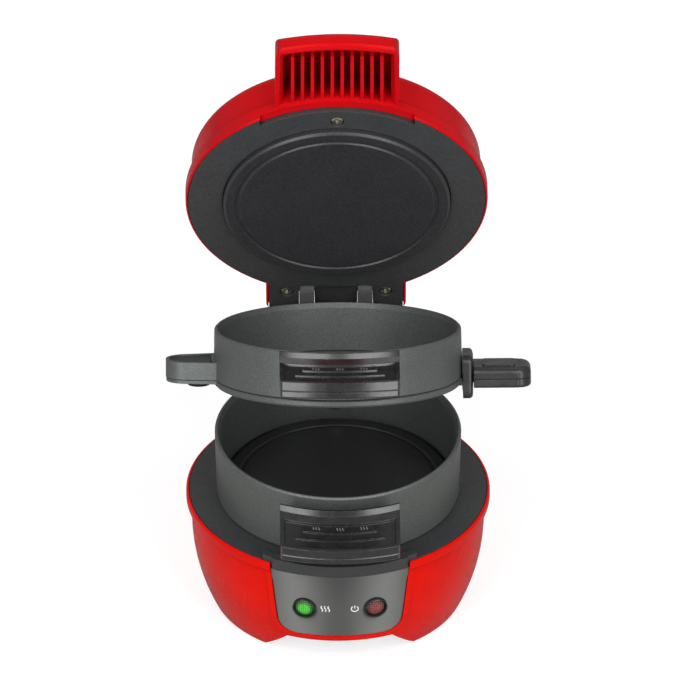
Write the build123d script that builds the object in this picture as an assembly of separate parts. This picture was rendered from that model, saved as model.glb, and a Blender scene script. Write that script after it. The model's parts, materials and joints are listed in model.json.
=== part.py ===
from build123d import *
import os
from math import cos, radians, sin, sqrt

# Breakfast sandwich maker: a round base with two lamps, a fixed lower ring, a hinged upper ring that
# carries a swinging cooking plate, and a hinged lid with a finned handle.
# Millimetres. Z is up, the front with the lamps faces -Y, and the origin is the middle of the footprint.

# ---- clearances ----
seat_gap = 0.2
slide_gap = 0.3
pin_gap = 0.12
# longer than the whole part, for cuts that go right through
cut_reach = 300.0

# ---- rings: the bore has a usual size for such appliances, and most other radii follow the rings' ----
ring_radius = 57.0
ring_taper = 0.8
ring_wall = 2.6
rim_bevel_width = 1.2
rim_bevel_height = 2.2
lower_ring_height = 32.1
upper_ring_height = 22.3

# ---- base housing ----
base_height = 55.5
floor_gap = 0.8
flange_margin = 13.3
flange_height = 5.5
waist_inset = 3.0
belly_inset = 4.5
belly_height = 23.0
foot_inset = 11.9
shell_wall = 2.6
bulge_half_width = 30.0
bulge_depth = 60.0
bulge_margin = 10.3
bulge_corner = 9.0
arch_height = 12.3
arch_top_half = 24.2
arch_foot_half = 34.3
cover_boss_radius = 4.5
cover_boss_height = 18.0
cover_boss_angles = (20.0, 160.0, 215.0, 325.0)

# ---- base bezel and control panel ----
bezel_inset = 1.5
bezel_thickness = 3.0
front_ridge_half = 35.5
front_ridge_width = 3.8
front_ridge_rise = 2.6
skirt_thickness = 3.6
panel_top_half = 32.3
panel_bottom_half = 27.9
panel_bottom = 16.1
panel_corner = 9.0
panel_wall = 2.2
panel_proud = 0.2
panel_flare = 6.0
panel_frame_width = 2.7
panel_frame_proud = 0.9
lamp_spacing = 32.6
lamp_height = 33.2
lens_radius = 4.7
lens_stem_step = 0.6
lens_dome = 1.9
lens_ring_width = 0.8
lens_ring_height = 1.3
lamp_radius = 2.8
lamp_length = 9.0
holder_thickness = 1.8

# ---- heating plates ----
heater_gap = 2.0
heater_thickness = 7.0
heater_rise = 3.0
heater_groove_inset = 6.4
heater_ledge = 5.4
heater_ledge_thickness = 2.2
element_inset = 16.4
element_tube = 3.2
element_sides = 8
element_pin_radius = 2.2
element_gap_angle = 24.0
reflector_sheet = 0.8
reflector_depth = 7.0
thermostat_radius = 9.0
thermostat_height = 6.5
fuse_radius = 2.2
fuse_length = 14.0
plate_screw_radius = 1.5
plate_screw_length = 7.0

# ---- bottom cover and feet ----
cover_thickness = 2.4
foot_post_radius = 7.5
foot_place = 40.0
foot_pad_radius = 6.5
foot_pad_height = 3.0
cover_screw_head = 2.8
cover_screw_radius = 1.5
cover_screw_length = 12.0
gland_radius = 6.5
gland_bore = 3.6
gland_height = 24.0
terminal_length = 30.0
terminal_setback = 27.0
terminal_depth = 14.0
terminal_height = 13.0
terminal_wells = 4

# ---- ring handles, stepped down from their guard to their front ----
handle_half_width = 27.6
handle_standoff = 9.0
handle_reach = 19.0
handle_depth = 17.6
handle_corner = 4.0
handle_wall = 2.2
lower_guard_rise = -0.2
upper_guard_rise = 1.8
guard_top_width = 0.8
guard_front_run = 1.0
guard_front_drop = 2.5
bar_run = 3.0
bar_drop = 1.9
front_run = 1.2
front_height = 8.0
front_bevel = 0.6
front_groove_place = 3.2
front_groove_half = 0.35
recess_half_width = 25.6
recess_depth = 1.1
recess_margin = 0.3
rib_halves = (17.2, 20.7, 6.4)
rib_pitch = 3.9
rib_width = 1.0
rib_height = 0.6
tongue_half_width = 13.0
tongue_thickness = 3.6
tongue_rise = 1.2
tongue_setback = 8.5
handle_screw_place = 8.5
handle_screw_setback = 4.0
handle_screw_radius = 1.1

# ---- cooking plate ----
plate_margin = 0.4
plate_thickness = 3.3
pivot_standoff = 7.3
lug_half_width = 9.6
lug_root_spread = 2.5
lug_reach = 15.2
lug_height = 8.2
lug_rim = 1.6
cap_sink = 0.7
cap_thickness = 1.8
ear_thickness = 1.6
rivet_radius = 3.0
rivet_head_radius = 5.3
rivet_head_height = 2.4
rivet_top_radius = 4.3
rivet_top_height = 1.8
guard_clearance = 0.6
guard_thickness = 4.4
guard_half_width = 11.5
guard_corner = 3.5
guard_edge = 1.6
guard_below = 6.3
guard_above = 13.9
grip_length = 26.4
grip_half_width = 12.0
grip_below = 1.0
grip_split = 3.3
grip_above = 8.6
grip_corner = 6.5
grip_crown = 3.0
grip_keel = 1.5
grip_pad_setback = 4.0
grip_pad_length = 15.3
grip_pad_half_width = 7.4
grip_pad_corner = 2.0
grip_pad_rise = 0.6
grip_groove_setback = 5.2
grip_groove_half = 0.3
tang_half_width = 6.0
tang_thickness = 2.0
tang_setback = 7.0
grip_screw_setback = 13.0
grip_screw_head = 2.3
grip_screw_radius = 1.1

# ---- hinges ----
lid_hinge_margin = 13.7
lid_hinge_above = 6.0
ring_hinge_margin = 10.8
ring_hinge_height = 47.0
arm_centre = 13.5
arm_width = 6.8
arm_radius = 7.0
slot_gap = 0.25
lid_pin_radius = 2.2
lid_pin_length = 40.0
ring_pin_radius = 1.9
knuckle_radius = 4.0
knuckle_half_width = 4.4
cheek_thickness = 4.0
bracket_half_width = 8.9
bracket_rivet_heights = (10.0, 23.0)
tower_half_width = 22.0
tower_margin = 3.2
tower_rise = 8.0
tower_foot = 3.6
tower_screw_steps = (-6.2, 0.8)
web_half_width = 21.0
web_height = 40.0
back_wall_height = 34.0
back_wall_thickness = 3.2

# ---- lid ----
lid_inset = 0.5
lid_flange_height = 7.8
lid_body_inset = 3.0
lid_side_height = 21.8
lid_shoulder_run = 5.0
lid_shoulder_rise = 5.2
lid_height = 30.0
lid_wall = 2.8
lid_bezel_inset = 1.2
lid_bezel_thickness = 3.0
lid_bezel_notch_inset = 4.7
lid_bezel_notch_half = 35.7
tab_pocket_depth = 1.5
guard_recess_depth = 2.3
hump_half_width = 32.4
hump_margin = 10.5
hump_height = 24.0
hump_corner = 6.0
bezel_edge = 1.1
lid_screw_margin = 4.9
lid_screw_head = 2.9
lid_screw_radius = 1.4
lid_screw_length = 10.0
lid_screw_sink = 2.1
hinge_screw_x = 22.8
hinge_screw_step = 3.1
lid_handle_reach = 37.7
lid_handle_half = 28.5
lid_handle_corner = 8.0
lid_handle_round = 2.6
lid_handle_low = 3.0
lid_handle_tip_low = 4.5
lid_handle_tip_high = 12.2
lid_handle_root_high = 23.0
lid_handle_root_depth = 8.0
lid_handle_bulge = 1.0
lid_handle_wall = 3.7
lid_handle_end_wall = 4.5
lid_handle_skin = 2.6
lid_handle_mouth = 1.8
lid_handle_mouth_depth = 2.5
fin_count = 10
fin_pitch = 4.56
fin_thickness = 1.6
fin_setback = 10.5
fin_root_low = 2.6
fin_tip_low = 6.5

# ---- sector that the front handles are turned through, wider than the handles ----
front_sector = 70.0

# ---- photographed pose and stops, in degrees ----
lid_open = 72.5
lid_stop = 90.0
ring_open = 22.0
swing_stop = 115.0

# ---- radii and places worked out from the sizes above ----
flange_radius = ring_radius + flange_margin
bezel_radius = flange_radius - bezel_inset
waist_radius = flange_radius - waist_inset
belly_radius = flange_radius - belly_inset
foot_radius = flange_radius - foot_inset
heater_radius = ring_radius - ring_wall - heater_gap
heater_groove_radius = heater_radius - heater_groove_inset
element_radius = heater_radius - element_inset
handle_inner = ring_radius + handle_standoff
handle_radius = handle_inner + handle_reach
tongue_end = handle_radius - tongue_setback
handle_screw_y = handle_screw_setback - tongue_end
plate_radius = ring_radius + plate_margin
pivot_offset = ring_radius + pivot_standoff
guard_radius = pivot_offset + plate_radius + guard_clearance
grip_start = guard_radius - pivot_offset + guard_thickness + seat_gap
terminal_front = ring_radius - terminal_setback
grip_screw_x = grip_start + grip_length - grip_screw_setback
lid_hinge_y = ring_radius + lid_hinge_margin
ring_hinge_y = ring_radius + ring_hinge_margin
tower_front = ring_radius + tower_margin
bulge_rear = lid_hinge_y + bulge_margin
hump_rear = lid_hinge_y + hump_margin
hinge_screw_y = lid_hinge_y - hinge_screw_step
lid_radius = flange_radius - lid_inset
lid_body_radius = lid_radius - lid_body_inset
lid_bezel_radius = lid_radius - lid_bezel_inset
lid_bezel_notch_radius = lid_radius - lid_bezel_notch_inset
lid_screw_place = heater_radius + lid_screw_margin
lid_handle_end = lid_radius + lid_handle_reach
fin_end = lid_handle_end - fin_setback

# ---- levels worked out from the sizes above ----
shoulder = base_height - flange_height
cover_level = arch_height + 0.6
lower_rim = base_height + lower_ring_height
lower_handle_top = lower_rim + lower_guard_rise
plate_level = lower_rim + slide_gap
upper_ring_level = plate_level + plate_thickness + slide_gap
upper_rim = upper_ring_level + upper_ring_height
upper_handle_top = upper_rim + upper_guard_rise
lug_top = upper_ring_level + lug_height
cap_level = lug_top - cap_sink - cap_thickness
ear_level = plate_level + plate_thickness - ear_thickness
rivet_seat = cap_level - seat_gap - rivet_top_height - seat_gap
lid_level = upper_rim + slide_gap
lid_hinge_z = lid_level + lid_hinge_above
ring_hinge_z = base_height + ring_hinge_height
lid_hinge = Axis((0, lid_hinge_y, lid_hinge_z), (1, 0, 0))
ring_hinge = Axis((0, ring_hinge_y, ring_hinge_z), (1, 0, 0))


# ---- shared shapes ----
def turned(*points):
    """Solid of revolution about the vertical axis from a closed outline of (radius, height)."""
    return revolve(Plane.XZ * make_face(Polyline(*points, close=True)), Axis.Z)


def front_turn(outline):
    """Outline of (radius, height) turned about the vertical axis through the front sector."""
    start = radians(-90 - front_sector / 2)
    plane = Plane(origin=(0, 0, 0), x_dir=(cos(start), sin(start), 0), z_dir=(sin(start), -cos(start), 0))
    return revolve(plane * outline, Axis.Z, front_sector)


def turned_front(*points):
    """Front sector of a solid of revolution with straight sides."""
    return front_turn(polygon(*points))


def rise(plan, low, high):
    """Plan outline extruded from one height to another."""
    return Pos(0, 0, low) * extrude(plan, high - low)


def across(outline, left, right):
    """Outline of (y, z) extruded along X."""
    return extrude(Plane.YZ.offset(left) * outline, right - left)


def frontal(outline, front, rear):
    """Outline of (x, z) extruded along Y."""
    return extrude(Plane.XZ.offset(-rear) * outline, rear - front)


def polygon(*points):
    """Closed plane outline with straight sides."""
    return make_face(Polyline(*points, close=True))


def block(left, right, front, rear, low, high):
    """Box between limits."""
    size = Box(right - left, rear - front, high - low)
    return Pos((left + right) / 2, (front + rear) / 2, (low + high) / 2) * size


def pillar(radius, x, y, low, high):
    """Upright cylinder."""
    return Pos(x, y, (low + high) / 2) * Cylinder(radius, high - low)


def spindle(radius, y, z, left, right):
    """Cylinder along X."""
    return Pos((left + right) / 2, y, z) * Rot(0, 90, 0) * Cylinder(radius, right - left)


def bolt(radius, x, z, front, rear):
    """Cylinder along Y."""
    return Pos(x, (front + rear) / 2, z) * Rot(90, 0, 0) * Cylinder(radius, rear - front)


def both_sides(shape):
    """The shape and its mirror image across the middle plane."""
    return [shape, mirror(shape, about=Plane.YZ)]


def front_zone(half_width, reach=150.0):
    """Plan rectangle in front of the middle, between plus and minus half_width."""
    return Pos(0, -reach / 2) * Rectangle(2 * half_width, reach)


def front_band(inner, outer, half_width, low, high):
    """Piece of a ring, cut off square at both sides of the front."""
    return rise((Circle(outer) - Circle(inner)) & front_zone(half_width), low, high)


def screw(head, shank, x, y, under, length):
    """Upright screw with its head below the level it clamps from."""
    return pillar(head, x, y, under - head * 0.6, under) + pillar(shank, x, y, under, under + length)


# ---- base housing and what closes it ----
def body_solid(extra):
    """Curved bowl of the base, moved out or in by extra."""
    foot = (foot_radius + extra, floor_gap)
    waist = (waist_radius + extra, shoulder)
    side = ThreePointArc(foot, (belly_radius + extra, belly_height), waist)
    top = Polyline(waist, (0, shoulder), (0, floor_gap), foot)
    return revolve(Plane.XZ * make_face(side + top), Axis.Z)


def side_circle():
    """Centre radius, centre height and radius of the circle through the bowl's foot, belly and waist."""
    foot = complex(foot_radius, floor_gap)
    belly = complex(belly_radius, belly_height) - foot
    waist = complex(waist_radius, shoulder) - foot
    centre = (belly * abs(waist) ** 2 - waist * abs(belly) ** 2) / (
        2j * (belly.real * waist.imag - belly.imag * waist.real)) * -1
    return (centre + foot).real, (centre + foot).imag, abs(centre)


def body_radius(height):
    """Outer radius of the bowl at a height."""
    middle, level, radius = side_circle()
    return middle + sqrt(radius ** 2 - (height - level) ** 2)


def panel_outline(spread):
    """Front view of the panel, grown by spread."""
    top = base_height + 1
    outline = polygon((-panel_top_half, top), (panel_top_half, top),
                      (panel_bottom_half, panel_bottom), (-panel_bottom_half, panel_bottom))
    rounded = fillet(outline.vertices().group_by(Axis.Y)[0], panel_corner)
    return offset(rounded, spread) if spread else rounded


def around(reach, *angles):
    """Plan points at one distance from the middle."""
    return [(reach * cos(radians(angle)), reach * sin(radians(angle))) for angle in angles]


def cover_boss_places():
    """Where the bottom cover's screws stand."""
    return around(foot_radius - shell_wall - cover_boss_radius, *cover_boss_angles)


def cover_bosses():
    """Screw posts over the bottom cover, each tied to the wall by a rib."""
    low = cover_level + cover_thickness + seat_gap
    top = cover_level + cover_boss_height
    post = pillar(cover_boss_radius, foot_radius - shell_wall - cover_boss_radius, 0, low, top)
    post += block(foot_radius - shell_wall - cover_boss_radius, waist_radius, -shell_wall / 2, shell_wall / 2,
                  low, top)
    post &= body_solid(-shell_wall / 2)
    return [Rot(0, 0, angle) * post for angle in cover_boss_angles]


def tower_opening():
    """Opening in the rear deck that the hinge tower passes through."""
    wide = tower_half_width + slide_gap
    rear = lid_hinge_y + arm_radius + slide_gap
    return block(-wide, wide, tower_front - slide_gap, rear, shoulder - 1, base_height + 5)


def base_housing():
    flange = turned((0, shoulder), (flange_radius - 1.6, shoulder), (flange_radius, shoulder + 1.6),
                    (flange_radius, base_height - 0.8), (flange_radius - 0.8, base_height),
                    (0, base_height))
    bulge_middle = bulge_rear - bulge_depth / 2
    bulge = Pos(0, bulge_middle) * RectangleRounded(2 * bulge_half_width, bulge_depth, bulge_corner)
    hollow = Pos(0, bulge_middle - shell_wall) * RectangleRounded(
        2 * (bulge_half_width - shell_wall), bulge_depth, bulge_corner - shell_wall)
    shell = body_solid(0) + flange + rise(bulge, floor_gap, base_height)
    shell -= pillar(bezel_radius + slide_gap, 0, 0, base_height - bezel_thickness, cut_reach)
    frame = body_solid(panel_frame_proud) & frontal(panel_outline(panel_frame_width), -cut_reach,
                                                    -ring_radius / 2)
    shell += frame
    cover_top = cover_level + cover_thickness
    cavity = body_solid(-shell_wall) - pillar(belly_radius, 0, 0, 0, cover_top)
    cavity += pillar(foot_radius - shell_wall, 0, 0, 0, cover_top + seat_gap)
    cavity += pillar(waist_radius - shell_wall, 0, 0, shoulder - 1, base_height)
    cavity += rise(hollow, 0, shoulder)
    shell = shell - cavity + cover_bosses()
    shell -= [pillar(cover_screw_radius + pin_gap, x, y, 0, cover_level + cover_boss_height - 3)
              for x, y in cover_boss_places()]
    arch = polygon((-arch_foot_half, -1), (-arch_foot_half, floor_gap), (-arch_top_half, arch_height),
                   (arch_top_half, arch_height), (arch_foot_half, floor_gap), (arch_foot_half, -1))
    shell -= frontal(arch, -cut_reach, -ring_radius / 2)
    shell -= frontal(panel_outline(seat_gap), -cut_reach, -ring_radius / 2)
    shell -= tower_opening()
    shell -= [pillar(plate_screw_radius + pin_gap, x, y, shoulder - 1, shoulder + 2.2)
              for x, y in tower_screw_places()]
    shell -= bolt(gland_radius + seat_gap, 0, gland_height, bulge_rear - 10, bulge_rear + 5)
    return shell


def base_bezel():
    top = base_height + seat_gap
    low = base_height - bezel_thickness + seat_gap
    plate = rise(Circle(bezel_radius) - Circle(heater_radius + slide_gap), low, top)
    ledge_top = base_height + heater_rise - heater_thickness - seat_gap
    well = heater_radius + slide_gap
    inner = heater_radius - heater_ledge
    ledge_low = ledge_top - heater_ledge_thickness
    plate += turned((inner, ledge_low), (well + 2, ledge_low), (well + 2, low + 1), (well, low + 1),
                    (well, ledge_top), (inner, ledge_top))
    ridge = front_band(bezel_radius - front_ridge_width, bezel_radius, front_ridge_half, top - 1,
                       top + front_ridge_rise)
    skirt_half = panel_top_half - 1.0
    skirt_radius = flange_radius - slide_gap
    skirt = front_band(skirt_radius - skirt_thickness, skirt_radius, skirt_half, low, top + front_ridge_rise)
    plate += ridge + skirt
    plate -= tower_opening()
    plate -= [pillar(plate_screw_radius + pin_gap, x, y, ledge_low - 1, ledge_top + 1)
              for x, y in plate_screw_places()]
    return plate


def control_panel():
    """Curved panel around the lamps, flared out at its top to meet the bezel's front."""
    low = shoulder - panel_flare
    top = base_height - bezel_thickness
    skin = body_solid(panel_proud) - body_solid(-panel_wall)
    skin &= pillar(flange_radius, 0, 0, 0, low)
    neck = body_radius(low) + panel_proud
    lip = flange_radius - slide_gap
    sweep = ThreePointArc((neck, low), (neck + (lip - neck) / 4, (low + top) / 2), (lip, top))
    back = Polyline((lip, top), (lip - panel_wall, top), (neck - panel_wall, low), (neck, low))
    flare = revolve(Plane.XZ * make_face(sweep + back), Axis.Z)
    panel = (skin + flare) & frontal(panel_outline(0), -cut_reach, -ring_radius / 2)
    for side in (-1, 1):
        panel -= lamp_place(side) * Pos(0, 0, -4) * Cylinder(lens_radius - lens_stem_step + seat_gap, 12)
    return panel


def lamp_place(side):
    """Frame on the panel's face at a lamp, its Z pointing out of the panel."""
    x = side * lamp_spacing / 2
    middle, level, curve = side_circle()
    radius = body_radius(lamp_height) + panel_proud
    y = -sqrt(radius ** 2 - x ** 2)
    lean = (lamp_height - level) / (radius - middle) * radius
    return Location(Plane(origin=(x, y, lamp_height), x_dir=(-y, x, 0), z_dir=(x, y, lean)))


def lens(side):
    """Domed lamp cap with a stem through the panel."""
    ball = (lens_radius ** 2 + lens_dome ** 2) / (2 * lens_dome)
    cap = Pos(0, 0, lens_dome - ball + seat_gap + 0.3) * Sphere(ball)
    cap &= Pos(0, 0, 5 + seat_gap + 0.3) * Box(40, 40, 10)
    rim = Pos(0, 0, 0.3 + seat_gap + 0.15) * Cylinder(lens_radius, 0.5)
    stem = Pos(0, 0, -panel_wall / 2 - 0.2) * Cylinder(lens_radius - lens_stem_step, panel_wall + 2.0)
    return lamp_place(side) * (cap + rim + stem)


def lens_rings():
    rings = []
    for side in (-1, 1):
        outer = Cylinder(lens_radius + lens_ring_width, lens_ring_height)
        outer = Pos(0, 0, lens_ring_height / 2 + 0.05) * outer
        inner = Cylinder(lens_radius + 0.1, 10)
        rings.append(lamp_place(side) * (outer - inner - Pos(0, 0, -5) * Cylinder(20, 10)))
    return rings


def indicator_lamps():
    lamps = []
    depth = panel_wall / 2 + 0.2 + panel_wall / 2 + 1.0 + seat_gap
    for side in (-1, 1):
        glass = Pos(0, 0, -depth - lamp_length / 2) * Cylinder(lamp_radius, lamp_length)
        lamps.append(lamp_place(side) * glass)
    return lamps


def lamp_holder():
    """Two cups on a bar that carry the indicator lamps behind the panel."""
    depth = panel_wall + 1.2 + seat_gap + lamp_length * 0.4
    cups = []
    for side in (-1, 1):
        cup = Pos(0, 0, -depth - lamp_length * 0.35) * (
            Cylinder(lamp_radius + 1.4, lamp_length * 0.7) - Cylinder(lamp_radius + 0.1, lamp_length * 2))
        cups.append(lamp_place(side) * cup)
    rear = -body_radius(lamp_height) + panel_wall + 1.2 + lamp_length + 4.0
    half = lamp_spacing / 2 + 6
    bar = block(-half, half, rear - holder_thickness - 2.2, rear, lamp_height - 6, lamp_height + 2)
    legs = [block(side * 3 - 1.5, side * 3 + 1.5, -body_radius(lamp_height) + panel_wall + seat_gap + 0.8,
                  rear - 1, lamp_height - 4, lamp_height) for side in (-1, 1)]
    holder = bar + legs + cups
    for side in (-1, 1):
        holder -= lamp_place(side) * Pos(0, 0, -15) * Cylinder(lamp_radius + 0.1, 30)
    return holder


def bottom_cover():
    cover = pillar(foot_radius - shell_wall - slide_gap, 0, 0, cover_level, cover_level + cover_thickness)
    cover += [pillar(foot_post_radius, x, y, foot_pad_height, cover_level + 1) for x, y in foot_places()]
    cover -= [pillar(foot_pad_radius - 2.5 + seat_gap, x, y, 0, foot_pad_height + 2.5)
              for x, y in foot_places()]
    cover -= [pillar(cover_screw_radius + pin_gap, x, y, 0, base_height) for x, y in cover_boss_places()]
    return cover


def foot_places():
    return around(foot_place, 45, 135, 225, 315)


def rubber_feet():
    feet = []
    for x, y in foot_places():
        pad = pillar(foot_pad_radius, x, y, 0, foot_pad_height - seat_gap)
        feet.append(pad + pillar(foot_pad_radius - 2.5, x, y, 0, foot_pad_height + 2))
    return feet


def cover_screws():
    return [screw(cover_screw_head, cover_screw_radius, x, y, cover_level - seat_gap, cover_screw_length)
            for x, y in cover_boss_places()]


def cord_gland():
    """Round strain-relief seat in the rear wall, without a cord."""
    rear = bulge_rear + 2.0
    wall = bulge_rear - shell_wall
    collar = bolt(gland_radius + 2.0, 0, gland_height, bulge_rear + seat_gap, rear + 1.0)
    sleeve = bolt(gland_radius, 0, gland_height, wall - 6, rear)
    nut = bolt(gland_radius + 2.0, 0, gland_height, wall - 4, wall - seat_gap)
    return collar + sleeve + nut - bolt(gland_bore, 0, gland_height, wall - 20, rear + 5)


def terminal_block():
    low = cover_level + cover_thickness + seat_gap
    half = terminal_length / 2
    pitch = terminal_length / terminal_wells
    body = block(-half, half, terminal_front, terminal_front + terminal_depth, low, low + terminal_height)
    return body - [pillar(pitch / 3, (i + 0.5) * pitch - half, terminal_front + terminal_depth / 2,
                          low + terminal_height / 2, base_height) for i in range(terminal_wells)]


# ---- heating plates, the same in base and lid ----
def plate_screw_places():
    reach = heater_radius - heater_ledge / 2 - 0.6
    return around(reach, 90, 210, 330)


def heating_plate(level):
    """Cast heating disc whose cooking face stands heater_rise above the level."""
    top = level + heater_rise
    low = top - heater_thickness
    disc = turned((0, low), (heater_radius, low), (heater_radius, top - 1.0), (heater_radius - 1.0, top),
                  (heater_groove_radius + 1.2, top), (heater_groove_radius + 0.6, top - 0.7),
                  (heater_groove_radius - 0.6, top - 0.7), (heater_groove_radius - 1.2, top), (0, top))
    return disc - [pillar(plate_screw_radius + pin_gap, x, y, low - 1, low + plate_screw_length - 2)
                   for x, y in plate_screw_places()]


def heating_element(level):
    """Sheathed heater bent to an open ring under the plate, with two terminal pins."""
    low = level + heater_rise - heater_thickness
    height = low - element_tube - 0.1
    across_gap = sin(radians(element_gap_angle))
    along_gap = cos(radians(element_gap_angle))
    section = Plane(origin=(element_radius * across_gap, element_radius * along_gap, height),
                    x_dir=(across_gap, along_gap, 0), z_dir=(-along_gap, across_gap, 0))
    section *= RegularPolygon(element_tube, element_sides, rotation=180 / element_sides)
    coil = revolve(section, Axis((0, 0, 0), (0, 0, -1)), 360 - 2 * element_gap_angle)
    return coil + [pillar(element_pin_radius, x, y, height - 12, height) for x, y in element_pin_places()]


def element_pin_places():
    return around(element_radius, 90 - element_gap_angle, 90 + element_gap_angle)


def reflector(level):
    """Sheet dish under the heater, held by the plate screws."""
    ledge_low = level + heater_rise - heater_thickness - seat_gap - heater_ledge_thickness
    top = ledge_low - seat_gap
    floor = top - reflector_depth + heater_ledge_thickness
    lip = heater_radius - 0.6
    neck = heater_radius - heater_ledge - 1.6
    t = reflector_sheet
    dish = turned((thermostat_radius + 1, floor - t), (neck - 4, floor - t), (neck + t, top - t),
                  (lip, top - t), (lip, top), (neck - 0.2, top), (neck - 4.4, floor),
                  (thermostat_radius + 1, floor))
    dish -= [pillar(plate_screw_radius + pin_gap, x, y, top - 5, top + 5) for x, y in plate_screw_places()]
    return dish - [pillar(element_pin_radius + 1.2, x, y, floor - 5, top) for x, y in element_pin_places()]


def plate_screws(level):
    ledge_low = level + heater_rise - heater_thickness - seat_gap - heater_ledge_thickness
    under = ledge_low - seat_gap - reflector_sheet - 0.1
    return [screw(2.6, plate_screw_radius, x, y, under, plate_screw_length) for x, y in plate_screw_places()]


def thermostat(level):
    low = level + heater_rise - heater_thickness - 0.1
    can = pillar(thermostat_radius, 0, 0, low - thermostat_height, low)
    return can + pillar(thermostat_radius * 0.6, 0, 0, low - thermostat_height - 4, low - thermostat_height)


def thermal_fuse(level):
    low = level + heater_rise - heater_thickness - 0.1
    x = thermostat_radius + 8.0
    return Pos(x, 0, low - fuse_radius) * Rot(90, 0, 0) * Cylinder(fuse_radius, fuse_length)


# ---- rings, their handles and the cooking plate ----
def ring_wall_solid(low, high, spread):
    """Cast ring with a slightly conical wall and an eased rim."""
    foot = ring_radius + spread
    rim = ring_radius
    bore = ring_radius - ring_wall
    return turned((bore - 0.2, low), (foot - 0.4, low), (foot, low + 0.4), (rim, high - 0.7),
                  (rim - 0.7, high), (bore + rim_bevel_width, high), (bore, high - rim_bevel_height))


def handle_tongue(top):
    """Flat tongue of the ring that the front handle is screwed to."""
    low = top - handle_depth + tongue_rise
    tongue = block(-tongue_half_width, tongue_half_width, -tongue_end, -ring_radius / 2, low,
                   low + tongue_thickness)
    tongue -= pillar(ring_radius - ring_wall / 2, 0, 0, 0, cut_reach)
    return tongue - [pillar(handle_screw_radius + slide_gap, x, handle_screw_y, 0, cut_reach)
                     for x in (-handle_screw_place, handle_screw_place)]


def handle_plan():
    """Plan of a ring handle: a piece of a wide ring with its front corners rounded."""
    plan = (Circle(handle_radius + 0.5) - Circle(handle_inner - 1)) & front_zone(handle_half_width)
    return fillet(plan.vertices().group_by(Axis.Y)[0], handle_corner)


def ring_handle(top):
    """Front handle: a finger guard, a sloping recessed face with grip ribs and a grooved front edge."""
    low = top - handle_depth
    bar = handle_inner + guard_top_width + guard_front_run
    bar_level = top - guard_front_drop
    face = bar + bar_run
    face_level = bar_level - bar_drop
    lip = handle_radius - front_run
    lip_level = low + front_height
    slope = (lip_level - face_level) / (lip - face)
    groove = low + front_groove_place
    shape = turned_front((handle_inner, low), (handle_inner, top), (handle_inner + guard_top_width, top),
                         (bar, bar_level), (face, face_level), (lip, lip_level),
                         (handle_radius, lip_level - front_bevel),
                         (handle_radius, groove + front_groove_half),
                         (handle_radius - front_groove_half, groove),
                         (handle_radius, groove - front_groove_half), (handle_radius, low + front_bevel),
                         (handle_radius - front_bevel, low))
    shape &= rise(handle_plan(), low - 1, top + 1)
    first = face + recess_margin
    last = lip - recess_margin
    recess = turned_front((first, face_level + slope * recess_margin - recess_depth), (first, top),
                          (last, top), (last, lip_level - slope * recess_margin - recess_depth))
    ribs = []
    for i, half_width in enumerate(rib_halves):
        middle = (i + 1) * rib_pitch
        floor = face_level + slope * middle - recess_depth
        ribs.append(front_band(face + middle - rib_width / 2, face + middle + rib_width / 2, half_width,
                               floor - rib_height, floor + rib_height))
    shape -= (recess & rise(front_zone(recess_half_width), low, top + 1)) - ribs
    ceiling = handle_wall + recess_depth
    hollow = turned_front((handle_inner + handle_wall, low - 1),
                          (handle_inner + handle_wall, face_level - handle_wall),
                          (face, face_level - ceiling), (lip - handle_wall, lip_level - ceiling),
                          (lip - handle_wall, low - 1))
    hollow &= rise(front_zone(handle_half_width - handle_wall), low - 2, top)
    seat = low + tongue_rise + tongue_thickness
    posts = [pillar(2.6, x, handle_screw_y, seat + seat_gap, top)
             for x in (-handle_screw_place, handle_screw_place)]
    shape -= hollow - posts
    half = tongue_half_width + slide_gap
    shape -= block(-half, half, -handle_inner - handle_wall - 1, 0, low - 1, seat + slide_gap)
    return shape - [pillar(handle_screw_radius + pin_gap, x, handle_screw_y, low - 1, seat + 2.6)
                    for x in (-handle_screw_place, handle_screw_place)]


def handle_screws(top):
    under = top - handle_depth + tongue_rise - pin_gap
    return [screw(2 * handle_screw_radius, handle_screw_radius, x, handle_screw_y, under,
                  tongue_thickness + 2.4)
            for x in (-handle_screw_place, handle_screw_place)]


def lug_plan(inset, inner):
    """Plan of the lug to the left of the ring, wider at its root, moved inwards by inset."""
    half = lug_half_width - inset
    root = half + lug_root_spread
    middle = -(pivot_offset + lug_reach - lug_half_width)
    arm = polygon((-inner, -root), (-inner, root), (middle, half), (middle, -half))
    return arm + Pos(middle, 0) * Circle(half)


def lower_ring():
    ring = ring_wall_solid(base_height + 2 * seat_gap, lower_rim, -ring_taper)
    ring += handle_tongue(lower_handle_top)
    return ring - [bolt(1.6, 0, z, 0, tower_front + 5) for z in bracket_rivet_levels()]


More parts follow.
